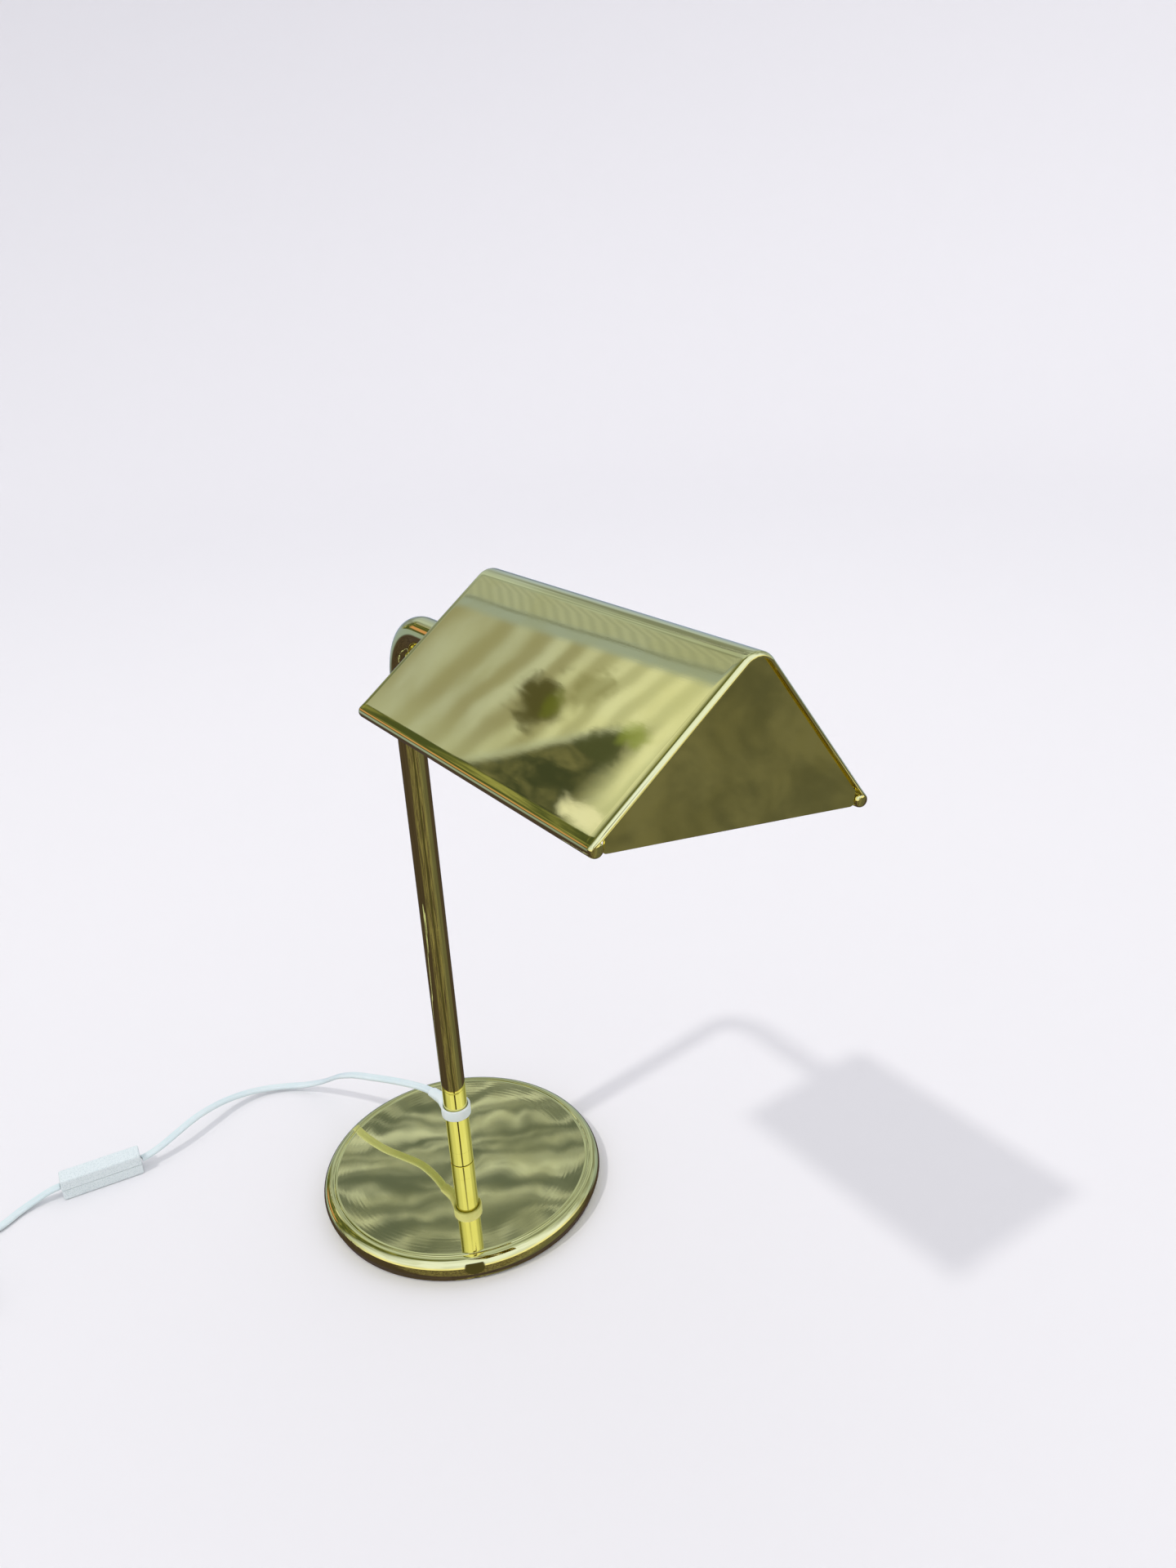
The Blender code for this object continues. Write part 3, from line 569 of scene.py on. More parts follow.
def coil_points():
    """Inward on the lower layer, up at the middle, and outward again on the upper one."""
    outer, inner = 0.0354, 0.0246
    low, high = 0.0041, 0.0099
    turns, start, per_turn = 3.65, 175.0, 24
    steps = round(turns * per_turn)
    points = []
    for i in range(2 * steps + 1):
        share = i / steps
        angle = math.radians(start + 360.0 * turns * share)
        radius = outer + (inner - outer) * (share if share < 1 else 2 - share)
        past_middle = 360.0 * turns * (share - 1)
        height = low + (high - low) * smoothstep(past_middle, -10, 50)
        x, y = radius * math.cos(angle), radius * math.sin(angle)
        points.append(COIL_AT + Vector((x, y, height)))
    return points


def make_leads():
    spacing = 0.003
    lamp = smooth_route(LAMP_ROUTE, spacing)
    flex_lamp = lead("flex_lamp", lamp, lambda i: 0.0, "stand", ["cord_lamp"])
    coil = coil_points()
    mains = smooth_route([*MAINS_ROUTE, *coil, *TAIL_ROUTE], spacing)
    starts = min(range(len(mains)), key=lambda i: (mains[i] - coil[0]).length)
    ends = len(mains) - 1 - min(
        range(len(mains)), key=lambda i: (mains[-1 - i] - coil[-1]).length
    )
    twist_in, twist_out = round(0.055 / spacing), round(0.036 / spacing)

    def roll(i):
        rising = smoothstep(i, starts - twist_in, starts)
        falling = 1 - smoothstep(i, ends, ends + twist_out)
        return math.pi / 2 * min(rising, falling)

    flex_mains = lead(
        "flex_mains", mains, roll, "stand", ["cord_mains", "cord_coil", "cord_tail"]
    )


def make_plug():
    """A moulded plug: a waisted grip, and a ribbed strain relief that narrows to the lead."""
    place = Matrix.Translation(PLUG_AT) @ Matrix.Rotation(PLUG_TURN, 4, "Z")
    side, over = (place.to_3x3() @ Vector(v) for v in ((0, 1, 0), (0, 0, 1)))
    rings = []
    tail = smooth_route(TAIL_ROUTE, 0.0005)
    ribs = 6
    for i, centre in enumerate(tail):
        share = i / (len(tail) - 1)
        groove = 0.0005 * (0.5 - 0.5 * math.cos(math.tau * ribs * share))
        wide = CORD_WIDTH / 2 + 0.0006 + 0.0028 * share - groove
        tall = CORD_THICK / 2 + 0.0006 + 0.0026 * share - groove
        along = heading(tail, i)
        across = Vector((0, 0, 1)).cross(along).normalized()
        rings.append(rounded_ring(centre, across, along.cross(across), wide, tall, 2.4))
    half = PLUG_SIZE / 2
    for x, wide, tall in (
        (0.0000, 0.0068, 0.0050),
        (0.0003, 0.0074, 0.0054),
        (0.0030, 0.0088, 0.0060),
        (0.0065, 0.0103, 0.0064),
        (0.0100, half.y, half.z),
        (0.0135, 0.0106, 0.0064),
        (0.0165, 0.0101, 0.0062),
        (0.0195, 0.0103, 0.0063),
        (0.0225, 0.0109, half.z),
        (0.0255, half.y, half.z),
        (0.0270, half.y, half.z),
        (0.0277, half.y - 0.0003, half.z - 0.0003),
        (0.0280, half.y - 0.0010, half.z - 0.0010),
    ):
        centre = place @ Vector((x, 0.0, PLUG_LOW + half.z))
        rings.append(rounded_ring(centre, side, over, wide, tall, 4.5))
    bm = bmesh.new()
    skin(bm, rings, cap_first=True, cap_last=True)
    piece("plug_grip", bm, "white_vinyl", "stand", stands_for=["plug_body"])


make_plug()
make_leads()

# ---- base and stem ----


def sheet_wave(x, y, seed, size):
    """The slight unevenness of thin rolled sheet, from -1 to 1."""
    return noise.noise(Vector((x / size, y / size, seed)))


def make_base():
    """The spun cover: a broad top that isn't quite flat, a fine groove and a full rim."""
    rim = (BASE_RADIUS - BASE_RIM, BASE_HEIGHT - BASE_RIM)
    hole = STUD_RADIUS + GAP
    land = BASE_RADIUS - 0.0082
    rings = 70
    top = [(hole + (land - hole) * i / rings, BASE_HEIGHT) for i in range(rings)]
    groove = [
        (BASE_RADIUS - 0.0080 + 0.0003 * i, BASE_HEIGHT - depth)
        for i, depth in enumerate((0.0, 0.00015, 0.0003, 0.00015, 0.0))
    ]
    outer = [
        *top,
        *groove,
        *arc(rim, BASE_RIM, 90, -36, 30),
        (BASE_RADIUS - 0.0024, 0.0011),
        (BASE_RADIUS - 0.0028, 0.0008),
    ]
    inner = [
        (BASE_RADIUS - 0.0035, 0.0008),
        (BASE_RADIUS - 0.0037, 0.0011),
        *arc(rim, BASE_RIM - SHEET, -20, 90, 12),
        (hole, BASE_HEIGHT - SHEET),
    ]
    bm = turned_mesh(outer + inner, 192)
    for vert in bm.verts:
        radius = math.hypot(vert.co.x, vert.co.y)
        if vert.co.z > BASE_HEIGHT - 0.0005 and radius < BASE_RADIUS - 0.0060:
            calm = 1 - smoothstep(radius, 0.070, 0.080)
            calm *= smoothstep(radius, 0.007, 0.014)
            wave = 0.00003 * sheet_wave(vert.co.x, vert.co.y, 3.1, 0.034)
            wave += 0.000006 * sheet_wave(vert.co.x, vert.co.y, 8.4, 0.016)
            ripple = 0.000003 * math.sin(math.tau * radius / 0.0026)
            ripple *= smoothstep(radius, 0.062, 0.070)
            vert.co.z += calm * wave + ripple - 0.00004
    piece("base_shell", bm, "polished_brass", "stand", stands_for=["base_cover"])


def make_stem():
    foot = BASE_HEIGHT + GAP
    bore = STUD_RADIUS + 0.0001
    spigot = STEM_RADIUS - STEM_WALL - GAP
    profile = [
        (bore, foot),
        (STEM_RADIUS - 0.0002, foot),
        (STEM_RADIUS, foot + 0.0002),
        (STEM_RADIUS, TUBE_START - 0.00005),
        (spigot, TUBE_START - 0.00005),
        (spigot, TUBE_START + 0.0107),
        (bore, TUBE_START + 0.0107),
    ]
    bm = turned_mesh(profile, 96)
    piece("stem_foot", bm, "polished_brass", "stand", stands_for=["foot_collar"])

    bend = (BEND_RADIUS, ARM_HEIGHT - BEND_RADIUS)
    path = [Vector((0, 0, TUBE_START))]
    path += [Vector((x, 0, z)) for x, z in arc(bend, BEND_RADIUS, 180, 90, 40)]
    path.append(Vector((ARM_END, 0, ARM_HEIGHT)))
    segments = 72
    rings = []
    for radius, route in (
        (STEM_RADIUS, path),
        (STEM_RADIUS - STEM_WALL, list(reversed(path))),
    ):
        for i, centre in enumerate(route):
            tangent = heading(route, i) * (1 if route is path else -1)
            across = Vector((0, 1, 0))
            outward = tangent.cross(across)
            ring = []
            for k in range(segments):
                angle = math.tau * k / segments
                spoke = outward * (radius * math.cos(angle))
                ring.append(centre + spoke + across * (radius * math.sin(angle)))
            rings.append(ring)
    rings.append(rings[0])
    bm = bmesh.new()
    skin(bm, rings)
    piece("stem_pipe", bm, "polished_brass", "stand", stands_for=["stem_tube"])


# ---- swivel ----


def make_swivel():
    """The arm's flange, fibre and wave washers, and the shade's turned collar."""
    turn = NIPPLE_RADIUS + 0.0001
    clear = NIPPLE_RADIUS + GAP
    spigot = STEM_RADIUS - STEM_WALL - GAP
    flange = ARM_END + GAP
    wide = STEM_RADIUS + 0.0003
    bushing = [
        (turn, 0.0700),
        (spigot - 0.0003, 0.0700),
        (spigot, 0.0703),
        (spigot, flange),
        *arc((wide - 0.0005, flange + 0.0005), 0.0005, -90, 0, 3),
        *arc((wide - 0.0005, 0.0865), 0.0005, 0, 90, 3),
        (turn, 0.0870),
    ]
    piece(
        "arm_flange", turned_mesh(bushing, 64, "X"), "polished_brass", "stand", ARM_FRAME,
        stands_for=["arm_end_bushing"],
    )
    fibre = rounded_washer(clear, 0.0085, 0.0873, 0.0885, 0.00025)
    piece(
        "fibre_ring", turned_mesh(fibre, 64, "X"), "black_fibre", "stand", ARM_FRAME,
        stands_for=["friction_washer"],
    )
    spring = turned_mesh(rounded_washer(clear, 0.0080, 0.0893, 0.0897, 0.0001, 1), 72, "X")
    for vert in spring.verts:
        vert.co.x += 0.00045 * math.cos(3 * math.atan2(vert.co.z, vert.co.y))
    piece(
        "spring_ring", spring, "zinc_steel", "stand", ARM_FRAME, stands_for=["wave_spring"]
    )
    collar = [
        (clear, 0.0905),
        *arc((0.0082 - 0.0006, 0.0905 + 0.0006), 0.0006, -90, 0, 4),
        (0.0082, 0.0921),
        (0.00795, 0.0924),
        (0.00795, 0.0928),
        (0.0082, 0.0931),
        *arc((0.0082 - 0.0006, 0.0962 - 0.0006), 0.0006, 0, 90, 4),
        (clear, 0.0962),
    ]
    piece(
        "shade_collar", turned_mesh(collar, 64, "X"), "polished_brass", "shade",
        SHADE_FRAME, stands_for=["swivel_collar"],
    )


# ---- shade ----


def slope_angle():
    """The direction that the right-hand slope faces, tangent to the ridge and the hem."""
    across = HALF_WIDTH - HEM_RADIUS
    drop = LOWEST + HEM_RADIUS - (RIDGE_TOP - RIDGE_RADIUS)
    lean = math.degrees(math.acos((RIDGE_RADIUS - HEM_RADIUS) / math.hypot(across, drop)))
    return math.degrees(math.atan2(drop, across)) + lean


SLOPE = slope_angle()
SLOPE_NORMAL = Vector((math.cos(math.radians(SLOPE)), math.sin(math.radians(SLOPE))))
RIDGE_CENTRE = (0.0, RIDGE_TOP - RIDGE_RADIUS)
HEM_CENTRE = (HALF_WIDTH - HEM_RADIUS, LOWEST + HEM_RADIUS)
SLOPE_TOP = Vector(RIDGE_CENTRE) + SLOPE_NORMAL * RIDGE_RADIUS
SLOPE_FOOT = Vector(HEM_CENTRE) + SLOPE_NORMAL * HEM_RADIUS
SLOPE_WIDTH = (SLOPE_TOP - SLOPE_FOOT).length


def half_section():
    """The right half of the sheet's outer face, from the ridge to the end of the hem.

    Each row is a (y, z) point, the way out from it, and its share down the slope.
    """
    rows = []
    for p in arc(RIDGE_CENTRE, RIDGE_RADIUS, 90, SLOPE, 12):
        rows.append((Vector(p), (Vector(p) - Vector(RIDGE_CENTRE)).normalized(), 0.0))
    steps = 26
    for i in range(1, steps):
        share = i / steps
        rows.append((SLOPE_TOP.lerp(SLOPE_FOOT, share), SLOPE_NORMAL, share))
    back = math.degrees(math.acos((HEM_RADIUS - SHEET) / HEM_RADIUS))
    for p in arc(HEM_CENTRE, HEM_RADIUS, SLOPE, SLOPE - 360 + back, 30):
        rows.append((Vector(p), (Vector(p) - Vector(HEM_CENTRE)).normalized(), 1.0))
    return rows


def inner_section():
    """The right half of the sheet's inner face, from the hem up to the ridge."""
    rows = []
    back = math.radians(SLOPE - 360)
    edge = math.acos((HEM_RADIUS - SHEET) / HEM_RADIUS)
    foot = Vector(HEM_CENTRE) + HEM_RADIUS * Vector(
        (math.cos(back + edge), math.sin(back + edge))
    )
    top = Vector(RIDGE_CENTRE) + SLOPE_NORMAL * (RIDGE_RADIUS - SHEET)
    steps = 14
    for i in range(1, steps):
        share = 1 - i / steps
        rows.append((foot.lerp(top, 1 - share), SLOPE_NORMAL, share))
    for p in arc(RIDGE_CENTRE, RIDGE_RADIUS - SHEET, SLOPE, 90, 8):
        rows.append((Vector(p), (Vector(p) - Vector(RIDGE_CENTRE)).normalized(), 0.0))
    return rows


def make_shade():
    """One folded sheet with a rolled hem, its ends turned in over the gables."""
    lip = 0.0021
    end = SHADE_START + SHADE_LENGTH
    turned_in = [
        (lip * (1 - math.sin(math.radians(9 * i))), lip * (1 - math.cos(math.radians(9 * i))))
        for i in range(8, 0, -1)
    ]
    across = 64
    straight = SHADE_LENGTH - 2 * lip
    stations = [(SHADE_START + x, depth) for x, depth in turned_in]
    for i in range(across + 1):
        stations.append((SHADE_START + lip + straight * i / across, 0.0))
    stations += [(end - x, depth) for x, depth in reversed(turned_in)]

    outer = half_section()
    rows = [(*row, True) for row in outer] + [(*row, False) for row in inner_section()]
    rings = []
    for x, depth in stations:
        along = (x - SHADE_START) / SHADE_LENGTH
        edge = smoothstep(along, 0, 0.1) * (1 - smoothstep(along, 0.9, 1))
        ring = []
        for side in (1, -1):
            for place, out, share, is_outer in rows if side == 1 else rows[-2:0:-1]:
                wave = sheet_wave(x, share * SLOPE_WIDTH, 2.0 + side, 0.045)
                shift = 0.00004 * 4 * share * (1 - share) * edge * wave
                fold = depth * (0.6 if share == 1.0 else 1.0)
                shift -= fold if is_outer else max(0.0, fold - 0.0004)
                y, z = place + out * shift
                ring.append(SHADE_FRAME @ Vector((x, side * y, z)))
        rings.append(ring)
    bm = bmesh.new()
    skin(bm, rings, cap_first=True, cap_last=True)
    piece("shade_canopy", bm, "polished_brass", "shade", stands_for=["shade_sheet"])


def gable_outline():
    """A gable that fits inside the sheet, with its lower corners clear of the hems."""
    inset = SHEET + GAP
    side = HALF_WIDTH - 2 * HEM_RADIUS - 0.0002
    top = arc(RIDGE_CENTRE, RIDGE_RADIUS - inset, SLOPE, 90, 10)
    start = Vector(top[0])
    along = Vector((SLOPE_NORMAL.y, -SLOPE_NORMAL.x))
    slope_end = start + along * ((side - start.x) / along.x)
    corner = 0.0015
    bottom = LOWEST + 0.0008
    half = [
        *line((0.0, bottom), (side - corner, bottom), 16),
        *arc((side - corner, bottom + corner), corner, -90, 0, 6),
        *line(slope_end, start, 20),
        *top[:-1],
    ]
    return half + [(0.0, top[-1][1])] + [(-y, z) for y, z in reversed(half[1:])]


def make_gables():
    """Flat end plates with an eased edge, pressed in between the sheet's turned ends."""
    end = SHADE_START + SHADE_LENGTH
    ease = 0.0003
    hole = NIPPLE_RADIUS + GAP
    for name, node, low in (
        ("gable_arm_end", "gable_inner", SHADE_START + GABLE_INSET),
        ("gable_far_end", "gable_outer", end - GABLE_INSET - SHEET),
    ):
        outline = [Vector(p) for p in gable_outline()]
        high = low + SHEET
        bm = bmesh.new()
        rings = []
        for x, drawn_in in ((low, ease), (low + ease, 0.0), (high - ease, 0.0), (high, ease)):
            rings.append([(x, *(p - p.normalized() * drawn_in)) for p in outline])
        if node == "gable_inner":
            bore = []
            for p in outline:
                angle = math.atan2(p.y, p.x)
                bore.append((hole * math.cos(angle), hole * math.sin(angle)))
            near_side, far_side = ([(x, *b) for b in bore] for x in (low, high))
            rings = [near_side, *rings, far_side, near_side]
            skin(bm, rings)
        else:
            skin(bm, rings, cap_first=True, cap_last=True)
        piece(name, bm, "polished_brass", "shade", SHADE_FRAME, stands_for=[node])


# ---- socket and bulb ----


def make_socket():
    """The socket's spun cap and beaded shell."""
    hole = NIPPLE_RADIUS + GAP
    cap = [
        (hole, 0.1013),
        (0.0071, 0.1013),
        *arc((0.0071, 0.1017), 0.0004, -90, 0, 2),
        (0.0076, 0.1036),
        *arc((0.0096, 0.1036), 0.0018, 180, 110, 4),
        (0.0150, 0.1068),
        *arc((0.0143, 0.1098), 0.0030, -60, 0, 6),
        (0.0173, 0.1128),
        *arc((0.0169, 0.1137), 0.0006, -60, 60, 5),
        (0.0173, 0.1148),
        (0.0173, 0.1163),
        (0.0171, 0.1165),
        (0.0166, 0.1165),
        (0.0166, 0.1104),
        (0.0146, 0.1076),
        (0.0074, 0.1048),
        (hole, 0.1048),
    ]
    piece(
        "socket_cup", turned_mesh(cap, 64, "X"), "polished_brass", "shade", SHADE_FRAME,
        stands_for=["socket_cap"],
    )
    shell = [(0.0156, 0.1135), (0.0163, 0.1135)]
    for bead in (0.1215, 0.1290, 0.1400):
        shell += arc((0.0160, bead), 0.0006, -60, 60, 5)
    shell += [(0.0163, 0.1470), *arc((0.0161, 0.1476), 0.0004, -40, 90, 4)]
    shell += [(0.0156, 0.1480)]
    piece(
        "socket_sleeve", turned_mesh(shell, 64, "X"), "polished_brass", "shade",
        SHADE_FRAME, stands_for=["socket_shell"],
    )


def make_bulb():
    """The bulb's threaded cap and its blown tubular glass."""
    profile = [(0, 0.1280), (0.0044, 0.1280), (0.0050, 0.1284), (0.0056, 0.1294)]
    profile += [(0.0108, 0.1309), (0.0118, 0.1316)]
    steps, pitch, first = 40, 0.0032, 0.1325
    for i in range(steps + 1):
        wave = math.sin(math.tau * 4 * i / steps - math.pi / 2)
        profile.append((0.01285 + 0.00025 * wave, first + 4 * pitch * i / steps))
    profile += [(0.0131, 0.1462), (0.0131, 0.1512), (0.0129, 0.1515), (0.0123, 0.1515)]
    profile += [(0.0120, 0.1380), (0, 0.1380)]
    piece(
        "lamp_cap", turned_mesh(profile, 56, "X"), "nickel", "shade", SHADE_FRAME,
        stands_for=["bulb_cap"],
    )
    wall, dome, radius, neck = 0.0008, 0.014, 0.016, 0.0116
    outside, inside = [], []
    steps = 14
    for shift, points in ((0.0, outside), (wall, inside)):
        points += [(neck - shift, 0.1400), (neck - shift, 0.1518)]
        for i in range(1, 10):
            ease = smoothstep(i, 0, 10)
            points.append((neck - shift + (radius - neck) * ease, 0.1518 + 0.0011 * i))
        points += [(radius - shift, 0.1640), (radius - shift, 0.200)]
        for i in range(steps):
            angle = math.pi / 2 * i / steps
            height = BULB_END - dome + (dome - shift) * math.sin(angle)
            points.append(((radius - shift) * math.cos(angle), height))
        points.append((0.0, BULB_END - shift))
    glass = turned_mesh([*outside, *reversed(inside)], 56, "X")
    open_edges = [edge for edge in glass.edges if edge.is_boundary]
    if open_edges:
        bmesh.ops.bridge_loops(glass, edges=open_edges)
    piece(
        "lamp_glass", glass, "frosted_glass", "shade", SHADE_FRAME,
        stands_for=["bulb_glass"],
    )


# ---- clip ----


def make_clip():
    """A nylon band round the stem with a tapering nose that holds the lead."""
    inner = STEM_RADIUS + GAP
    band = rounded_washer(inner, inner + CLIP_WALL, CLIP_LOW, CLIP_HIGH, 0.0005, 4)
    bm = turned_mesh(band, 72)
    middle = Vector((0.0, 0.0, (CLIP_LOW + CLIP_HIGH) / 2))
    line_out = NOSE_TIP - middle
    heading = line_out.normalized()
    side = Vector((0, 0, 1)).cross(heading).normalized()
    over = heading.cross(side)
    rings = []
    steps = 22
    start = 0.0079
    for i in range(steps + 1):
        share = i / steps
        reach = start + (line_out.length - start) * share
        tall = 0.0036 - 0.0013 * smoothstep(share, 0.3, 1)
        wide = 0.0037 - 0.0003 * share + 0.0022 * (1 - smoothstep(share, 0.0, 0.45))
        if i == steps:
            tall, wide = tall - 0.0003, wide - 0.0003
        centre = middle + heading * reach
        rings.append(rounded_ring(centre, side, over, wide, tall, 2.6, 28))
    skin(bm, rings, cap_first=True, cap_last=True)
    piece("stem_clip", bm, "white_nylon", "stand", stands_for=["cable_clip"])


make_base()
make_stem()
make_swivel()
make_shade()
make_gables()
make_socket()
make_bulb()
make_clip()

# ---- the CAD's own pieces that stay in sight ----

FINISH_OF = {
    "plain_brass": (
        "swivel_nipple", "screw_shell", "centre_contact", "plug_blade_1", "plug_blade_2",
        "switch_contact_in", "switch_contact_out",
    ),
    "cast_iron": ("base_weight",),
    "felt": ("base_felt",),
    "zinc_steel": (
        "base_washer", "base_lock_washer", "base_nut", "stem_stud", "swivel_washer",
        "swivel_lock_nut", "gable_lock_nut", "switch_screw_1", "switch_screw_2", "switch_pin",
    ),
    "black_fibre": ("socket_liner", "socket_body", "lead_wire_live", "lead_wire_neutral"),
    "frosted_glass": ("filament_mount",),
    "tungsten": ("filament",),
    "white_vinyl": ("cord_inner",),
    "white_nylon": ("cord_grommet",),
    "switch_plastic": ("switch_lower_shell", "switch_cover", "switch_wheel"),
    "black_tie": ("coil_tie",),
}
for finish, names in FINISH_OF.items():
    for name in names:
        nodes[name].data.materials.clear()
        nodes[name].data.materials.append(MATERIALS[finish])

# ---- studio ----

FLOOR_RADIUS = 3.0
SWEEP_RADIUS = 2.2
WALL_TOP = 4.0


def make_floor():
    """A pale flat floor that curves up into a wall all round, with painted shade darkening it
    towards the wall.
    """
    made, net, shader, place = material("studio_floor")
    cloud = net.noise(place, 1.6, 3.0)
    away = net.node("ShaderNodeVectorMath", operation="LENGTH")
    net.put(away.inputs[0], place)
    tone = net.mix(cloud, (0.912, 0.898, 0.908), (0.898, 0.886, 0.898))
    # from 0.5 m out to 2.6 m the floor's colour darkens to the far tone: painted shade for
    # light fading with distance
    net.put(
        shader.inputs["Base Color"],
        net.mix(net.ramp(away.outputs["Value"], 0.5, 2.6), tone, (0.845, 0.835, 0.855)),
    )
    shader.inputs["Roughness"].default_value = 0.9
    shader.inputs["Specular IOR Level"].default_value = 0.0
    profile = [(0.0, 0.0), (0.5, 0.0), (1.5, 0.0), (FLOOR_RADIUS, 0.0)]
    profile += arc((FLOOR_RADIUS, SWEEP_RADIUS), SWEEP_RADIUS, -88, 0, 24)
    profile.append((FLOOR_RADIUS + SWEEP_RADIUS, WALL_TOP))
    bm = bmesh.new()
    steps = [math.tau * k / 96 for k in range(96)]
    skin(bm, [[(r * math.cos(a), r * math.sin(a), z) for a in steps] for r, z in profile])
    bmesh.ops.remove_doubles(bm, verts=bm.verts, dist=1e-6)
    mesh = bpy.data.meshes.new("floor")
    bm.to_mesh(mesh)
    bm.free()
    mesh.shade_smooth()
    mesh.materials.append(made)
    floor = bpy.data.objects.new("floor", mesh)
    bpy.context.scene.collection.objects.link(floor)
    floor.visible_glossy = False


def mirror_coordinates(net, ray, point, normal, axes):
    """Where a ray that the main camera sees reflected left a flat mirror.

    The place is given along two axes from point, a point on the mirror.
    """
    eye = CAMERA_AT - 2 * (CAMERA_AT - point).dot(normal) * normal
    facing = net.math("MAXIMUM", net.dot(ray, tuple(normal)), 0.02)
    reach = net.math("DIVIDE", (point - eye).dot(normal), facing)
    found = []
    for axis in axes:
        step = net.times(net.dot(ray, tuple(axis)), reach)
        found.append(net.plus(step, (eye - point).dot(axis)))
    return found


# dark and light patches on the slope's picture: centre and size as shares of its length and
# width, colour and strength
PATCHES = (
    ((0.57, 0.47), (0.080, 0.150), (0.085, 0.085, 0.06), 1.0),
    ((0.68, 0.60), (0.06, 0.12), (0.20, 0.21, 0.16), 0.6),
    ((0.84, 0.40), (0.065, 0.085), (0.07, 0.085, 0.07), 0.95),
    ((0.89, 0.50), (0.04, 0.07), (0.26, 0.34, 0.13), 0.7),
    ((0.62, 0.50), (0.03, 0.08), (0.14, 0.18, 0.04), 0.6),
    ((0.93, 0.085), (0.070, 0.080), (0.78, 0.83, 1.18), 1.0),
)


def hangings(net, u, v, where, drift):
    """Pale upright folds, the blue-green sky over them, a crease and a strip above it."""
    lean = net.math("MULTIPLY_ADD", v, -0.10, u)
    lean = net.math("MULTIPLY_ADD", drift, 0.09, lean)
    # folds that stand closer together towards the far end
    folds = net.times(net.math("MULTIPLY_ADD", lean, 5.0, 3.6), lean)
    crest = net.math("SINE", net.math("MULTIPLY_ADD", folds, math.tau, -0.6))
    crest = net.ramp(crest, -1.0, 1.0)
    fade = net.noise(net.scaled(where, (7.0, 1.6, 1.0)), 1.0, 3.0)
    crest = net.times(crest, net.ramp(fade, 0.25, 0.6, 0.35, 1.0))
    tan = net.blend(u, 0.5, 0.95, (0.31, 0.325, 0.375), (0.56, 0.62, 0.76))
    pale = net.blend(u, 0.3, 0.95, (0.45, 0.51, 0.76), (0.74, 0.81, 1.05))
    seen = net.mix(crest, tan, pale)
    seen = net.mix(net.ramp(v, 0.30, 0.0, 0.0, 0.45), seen, (0.44, 0.50, 0.68))
    edge = net.math("MULTIPLY_ADD", u, -0.07, v)
    seen = net.blend(edge, 0.745, 0.80, seen, (0.325, 0.405, 0.70))
    seen = net.mix(net.window(edge, 0.836, 0.848, 0.007), seen, (0.17, 0.20, 0.26))
    strip = net.math("SINE", net.math("MULTIPLY_ADD", v, 86.0, net.times(u, 128.0)))
    strip = net.blend(strip, -1.0, 1.0, (0.345, 0.40, 0.57), (0.405, 0.465, 0.66))
    return net.blend(edge, 0.842, 0.868, seen, strip)


def slope_surroundings(net, ray):
    """What the near slope reflects to the main camera: hangings, a tree and its shade.

    Returns the colour and the share of the view that it fills. u runs along the slope and
    v up it, each from 0 to 1.
    """
    turn = SHADE_FRAME.to_3x3()
    normal = (turn @ Vector((0, -SLOPE_NORMAL.x, SLOPE_NORMAL.y))).normalized()
    point = SHADE_FRAME @ Vector((SHADE_START, -SLOPE_FOOT.x, SLOPE_FOOT.y))
    top = SHADE_FRAME @ Vector((SHADE_START, -SLOPE_TOP.x, SLOPE_TOP.y))
    axes = (Vector((1, 0, 0)), (top - point).normalized())
    along, up = mirror_coordinates(net, ray, point, normal, axes)
    u = net.math("DIVIDE", along, SHADE_LENGTH)
    v = net.math("DIVIDE", up, SLOPE_WIDTH)
    where = net.combine(u, v)
    drift = net.minus(net.noise(where, 2.6, 2.0), 0.5)
    seen = hangings(net, u, v, where, drift)
    leaves = net.noise(where, 9.0, 5.0, 0.65, 0.6)
    # a pale branch runs up from the hem, with deep shade under it
    rise = net.math("MULTIPLY_ADD", net.minus(u, 0.47), -1.35, v)
    rise = net.math("MULTIPLY_ADD", drift, 0.10, rise)
    under = net.times(net.ramp(rise, 0.01, -0.05), net.ramp(u, 0.95, 0.85))
    shade = net.blend(leaves, 0.42, 0.72, (0.050, 0.062, 0.055), (0.17, 0.175, 0.15))
    seen = net.mix(under, seen, shade)
    branch = net.times(net.window(rise, -0.03, 0.02, 0.03), net.window(u, 0.5, 0.86, 0.05))
    seen = net.mix(net.times(branch, 0.75), seen, (0.46, 0.54, 0.86))
    for centre, size, colour, strength in PATCHES:
        across = net.math("DIVIDE", net.minus(u, centre[0]), size[0])
        over = net.math("DIVIDE", net.minus(v, centre[1]), size[1])
        far = net.hypot(across, over)
        ragged = net.math("MULTIPLY_ADD", net.minus(leaves, 0.5), 3.2, far)
        seen = net.mix(net.ramp(ragged, 1.3, 0.5, 0.0, strength), seen, colour)
    fills = net.times(net.window(u, -0.15, 1.15, 0.1), net.window(v, -0.03, 1.12, 0.02))
    return seen, fills


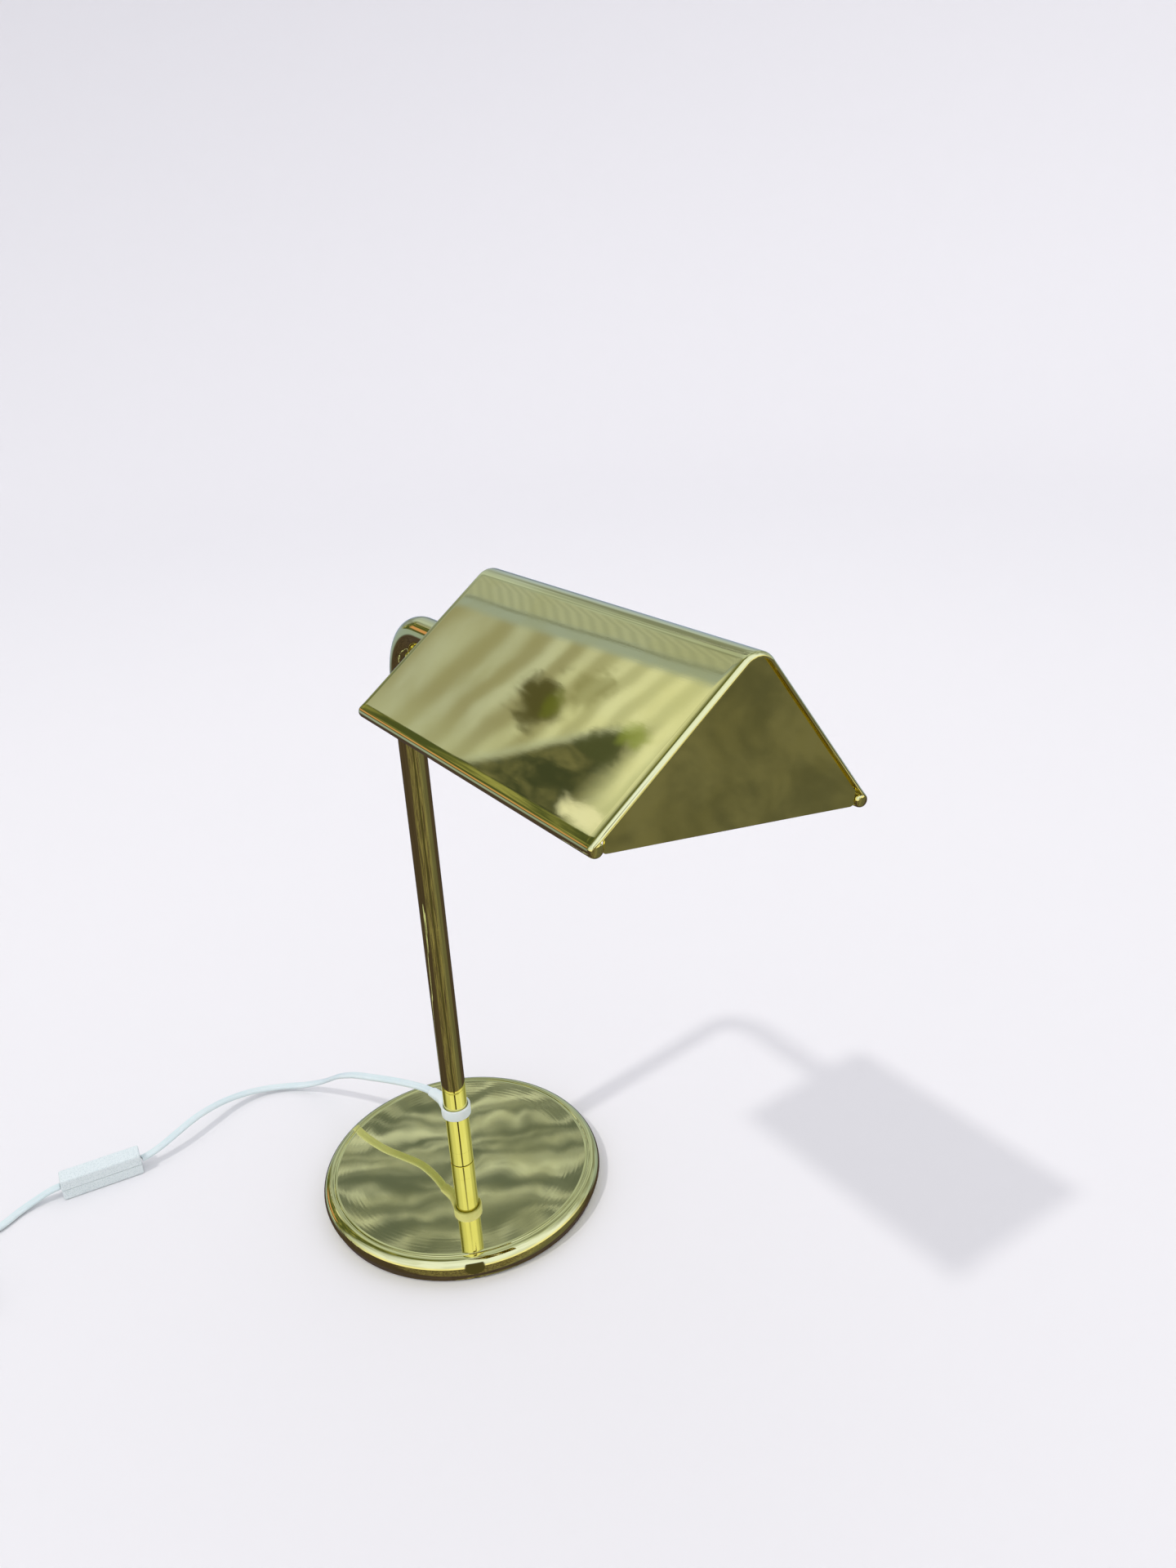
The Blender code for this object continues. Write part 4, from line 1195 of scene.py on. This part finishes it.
def base_surroundings(net, ray):
    """The banded light that the base's top reflects to the main camera, and its share."""
    axes = (Vector((1, 0, 0)), Vector((0, 1, 0)))
    x, y = mirror_coordinates(net, ray, Vector((0, 0, BASE_HEIGHT)), Vector((0, 0, 1)), axes)
    away = net.plus(net.times(x, -0.90), net.times(y, 0.43))
    where = net.combine(x, y)
    drift = net.minus(net.noise(where, 17.0, 2.0, 0.5, 0.4), 0.5)
    away = net.math("MULTIPLY_ADD", drift, 0.055, away)
    aside = net.plus(net.times(x, 0.43), net.times(y, 0.90))
    band_width = 0.024
    bands = net.math("SINE", net.times(away, math.tau / band_width))
    bands = net.ramp(bands, 0.0, 1.0)
    flow = net.combine(net.times(away, 105.0), net.times(aside, 8.0))
    flow = net.ramp(net.noise(flow, 1.0, 3.0, 0.55, 0.7), 0.46, 0.66)
    faint = net.noise(where, 60.0, 3.0)
    bands = net.times(bands, net.ramp(faint, 0.3, 0.7, 0.15, 0.6))
    bands = net.math("MULTIPLY_ADD", flow, 0.65, bands)
    seen = net.mix(bands, (0.115, 0.145, 0.205), (0.58, 0.66, 1.0))
    return seen, net.ramp(net.hypot(x, y), 0.125, 0.095)


def garden(net, ray):
    """A sky, a hedge, a warm wall, the ground, and one dark upright behind the camera."""
    split = net.node("ShaderNodeSeparateXYZ")
    net.put(split.inputs[0], ray)
    z = split.outputs["Z"]
    level = net.math("MAXIMUM", net.minus(1.0, net.times(z, z)), 0.0001)
    level = net.math("SQRT", level)

    def towards(x, y):
        """How nearly a ray's heading is the heading (x, y), from -1 to 1."""
        return net.math("DIVIDE", net.dot(ray, (x, y, 0.0)), level)

    side = towards(0.914, -0.407)
    cloud = net.noise(ray, 2.3, 4.0, 0.55, 0.3)
    bright = net.blend(z, 0.05, 0.48, (1.0, 0.98, 0.90), (0.86, 1.0, 1.9))
    haze = net.times(net.ramp(cloud, 0.45, 0.60), net.ramp(z, 0.08, 0.22))
    bright = net.mix(net.times(haze, 0.3), bright, (0.40, 0.47, 0.66))
    dull = net.blend(z, 0.0, 0.75, (0.34, 0.44, 0.74), (0.55, 0.66, 1.0))
    dull = net.blend(cloud, 0.4, 0.62, dull, (0.22, 0.26, 0.34))
    sky = net.blend(side, -0.35, 0.5, dull, bright)
    # a hedge to the left, with a warm wall low in front of it
    leaves = net.noise(ray, 9.0, 5.0, 0.65, 0.3)
    hedge = net.blend(leaves, 0.45, 0.7, (0.07, 0.09, 0.05), (0.38, 0.40, 0.22))
    sky = net.blend(towards(-0.866, -0.5), 0.90, 0.96, sky, hedge)
    wall = net.ramp(towards(-0.857, -0.515), 0.970, 0.990)
    wall = net.times(wall, net.window(z, 0.12, 0.27, 0.03))
    sky = net.mix(wall, sky, (0.62, 0.33, 0.25))
    litter = net.noise(ray, 16.0, 6.0, 0.7, 0.5)
    dim = net.blend(litter, 0.35, 0.65, (0.045, 0.034, 0.040), (0.085, 0.066, 0.075))
    soil = net.blend(litter, 0.35, 0.65, (0.095, 0.098, 0.092), (0.158, 0.158, 0.145))
    ground = net.blend(towards(0.76, 0.65), 0.80, 0.95, dim, soil)
    specks = net.noise(ray, 48.0, 3.0, 0.7)
    specks = net.times(net.ramp(specks, 0.50, 0.60), net.ramp(side, 0.5, 0.7))
    ground = net.mix(specks, ground, (0.40, 0.38, 0.26))
    low_sky = net.times(net.window(side, -1.2, -0.35, 0.2), net.ramp(z, -0.34, -0.22))
    ground = net.mix(low_sky, ground, (0.30, 0.39, 0.62))
    seen = net.blend(z, -0.02, 0.02, ground, sky)
    upright = net.times(net.ramp(side, 0.9915, 0.9945), net.ramp(z, 0.72, 0.64))
    return net.mix(upright, seen, (0.07, 0.065, 0.045))


def make_world():
    """Even pale light for all that is matt, and the surroundings for what is polished."""
    world = bpy.data.worlds.new("studio")
    world.use_nodes = True
    world.node_tree.nodes.clear()
    net = Net(world.node_tree)
    ray = net.node("ShaderNodeTexCoord").outputs["Generated"]
    seen = garden(net, ray)
    for surroundings in (slope_surroundings, base_surroundings):
        colour, share = surroundings(net, ray)
        seen = net.mix(share, seen, colour)

    mirror = net.node("ShaderNodeBackground")
    net.put(mirror.inputs["Color"], seen)
    even = net.node("ShaderNodeBackground")
    even.inputs["Color"].default_value = (0.915, 0.925, 0.965, 1.0)
    even.inputs["Strength"].default_value = 0.965
    mixed = net.node("ShaderNodeMixShader")
    net.put(mixed.inputs[0], net.node("ShaderNodeLightPath").outputs["Is Glossy Ray"])
    net.put(mixed.inputs[1], even.outputs[0])
    net.put(mixed.inputs[2], mirror.outputs[0])
    out = net.node("ShaderNodeOutputWorld")
    net.put(out.inputs["Surface"], mixed.outputs[0])
    bpy.context.scene.world = world


def make_key():
    """The soft sun that casts the lamp's shadow, kept out of the reflections."""
    data = bpy.data.lights.new("key", "SUN")
    data.energy = 0.72
    data.angle = math.radians(2.5)
    data.color = (1.0, 0.98, 0.95)
    key = bpy.data.objects.new("key", data)
    towards = Vector((0.07, -0.62, 0.90))
    key.rotation_euler = towards.to_track_quat("Z", "Y").to_euler()
    bpy.context.scene.collection.objects.link(key)
    key.visible_glossy = False


make_floor()
make_world()
make_key()
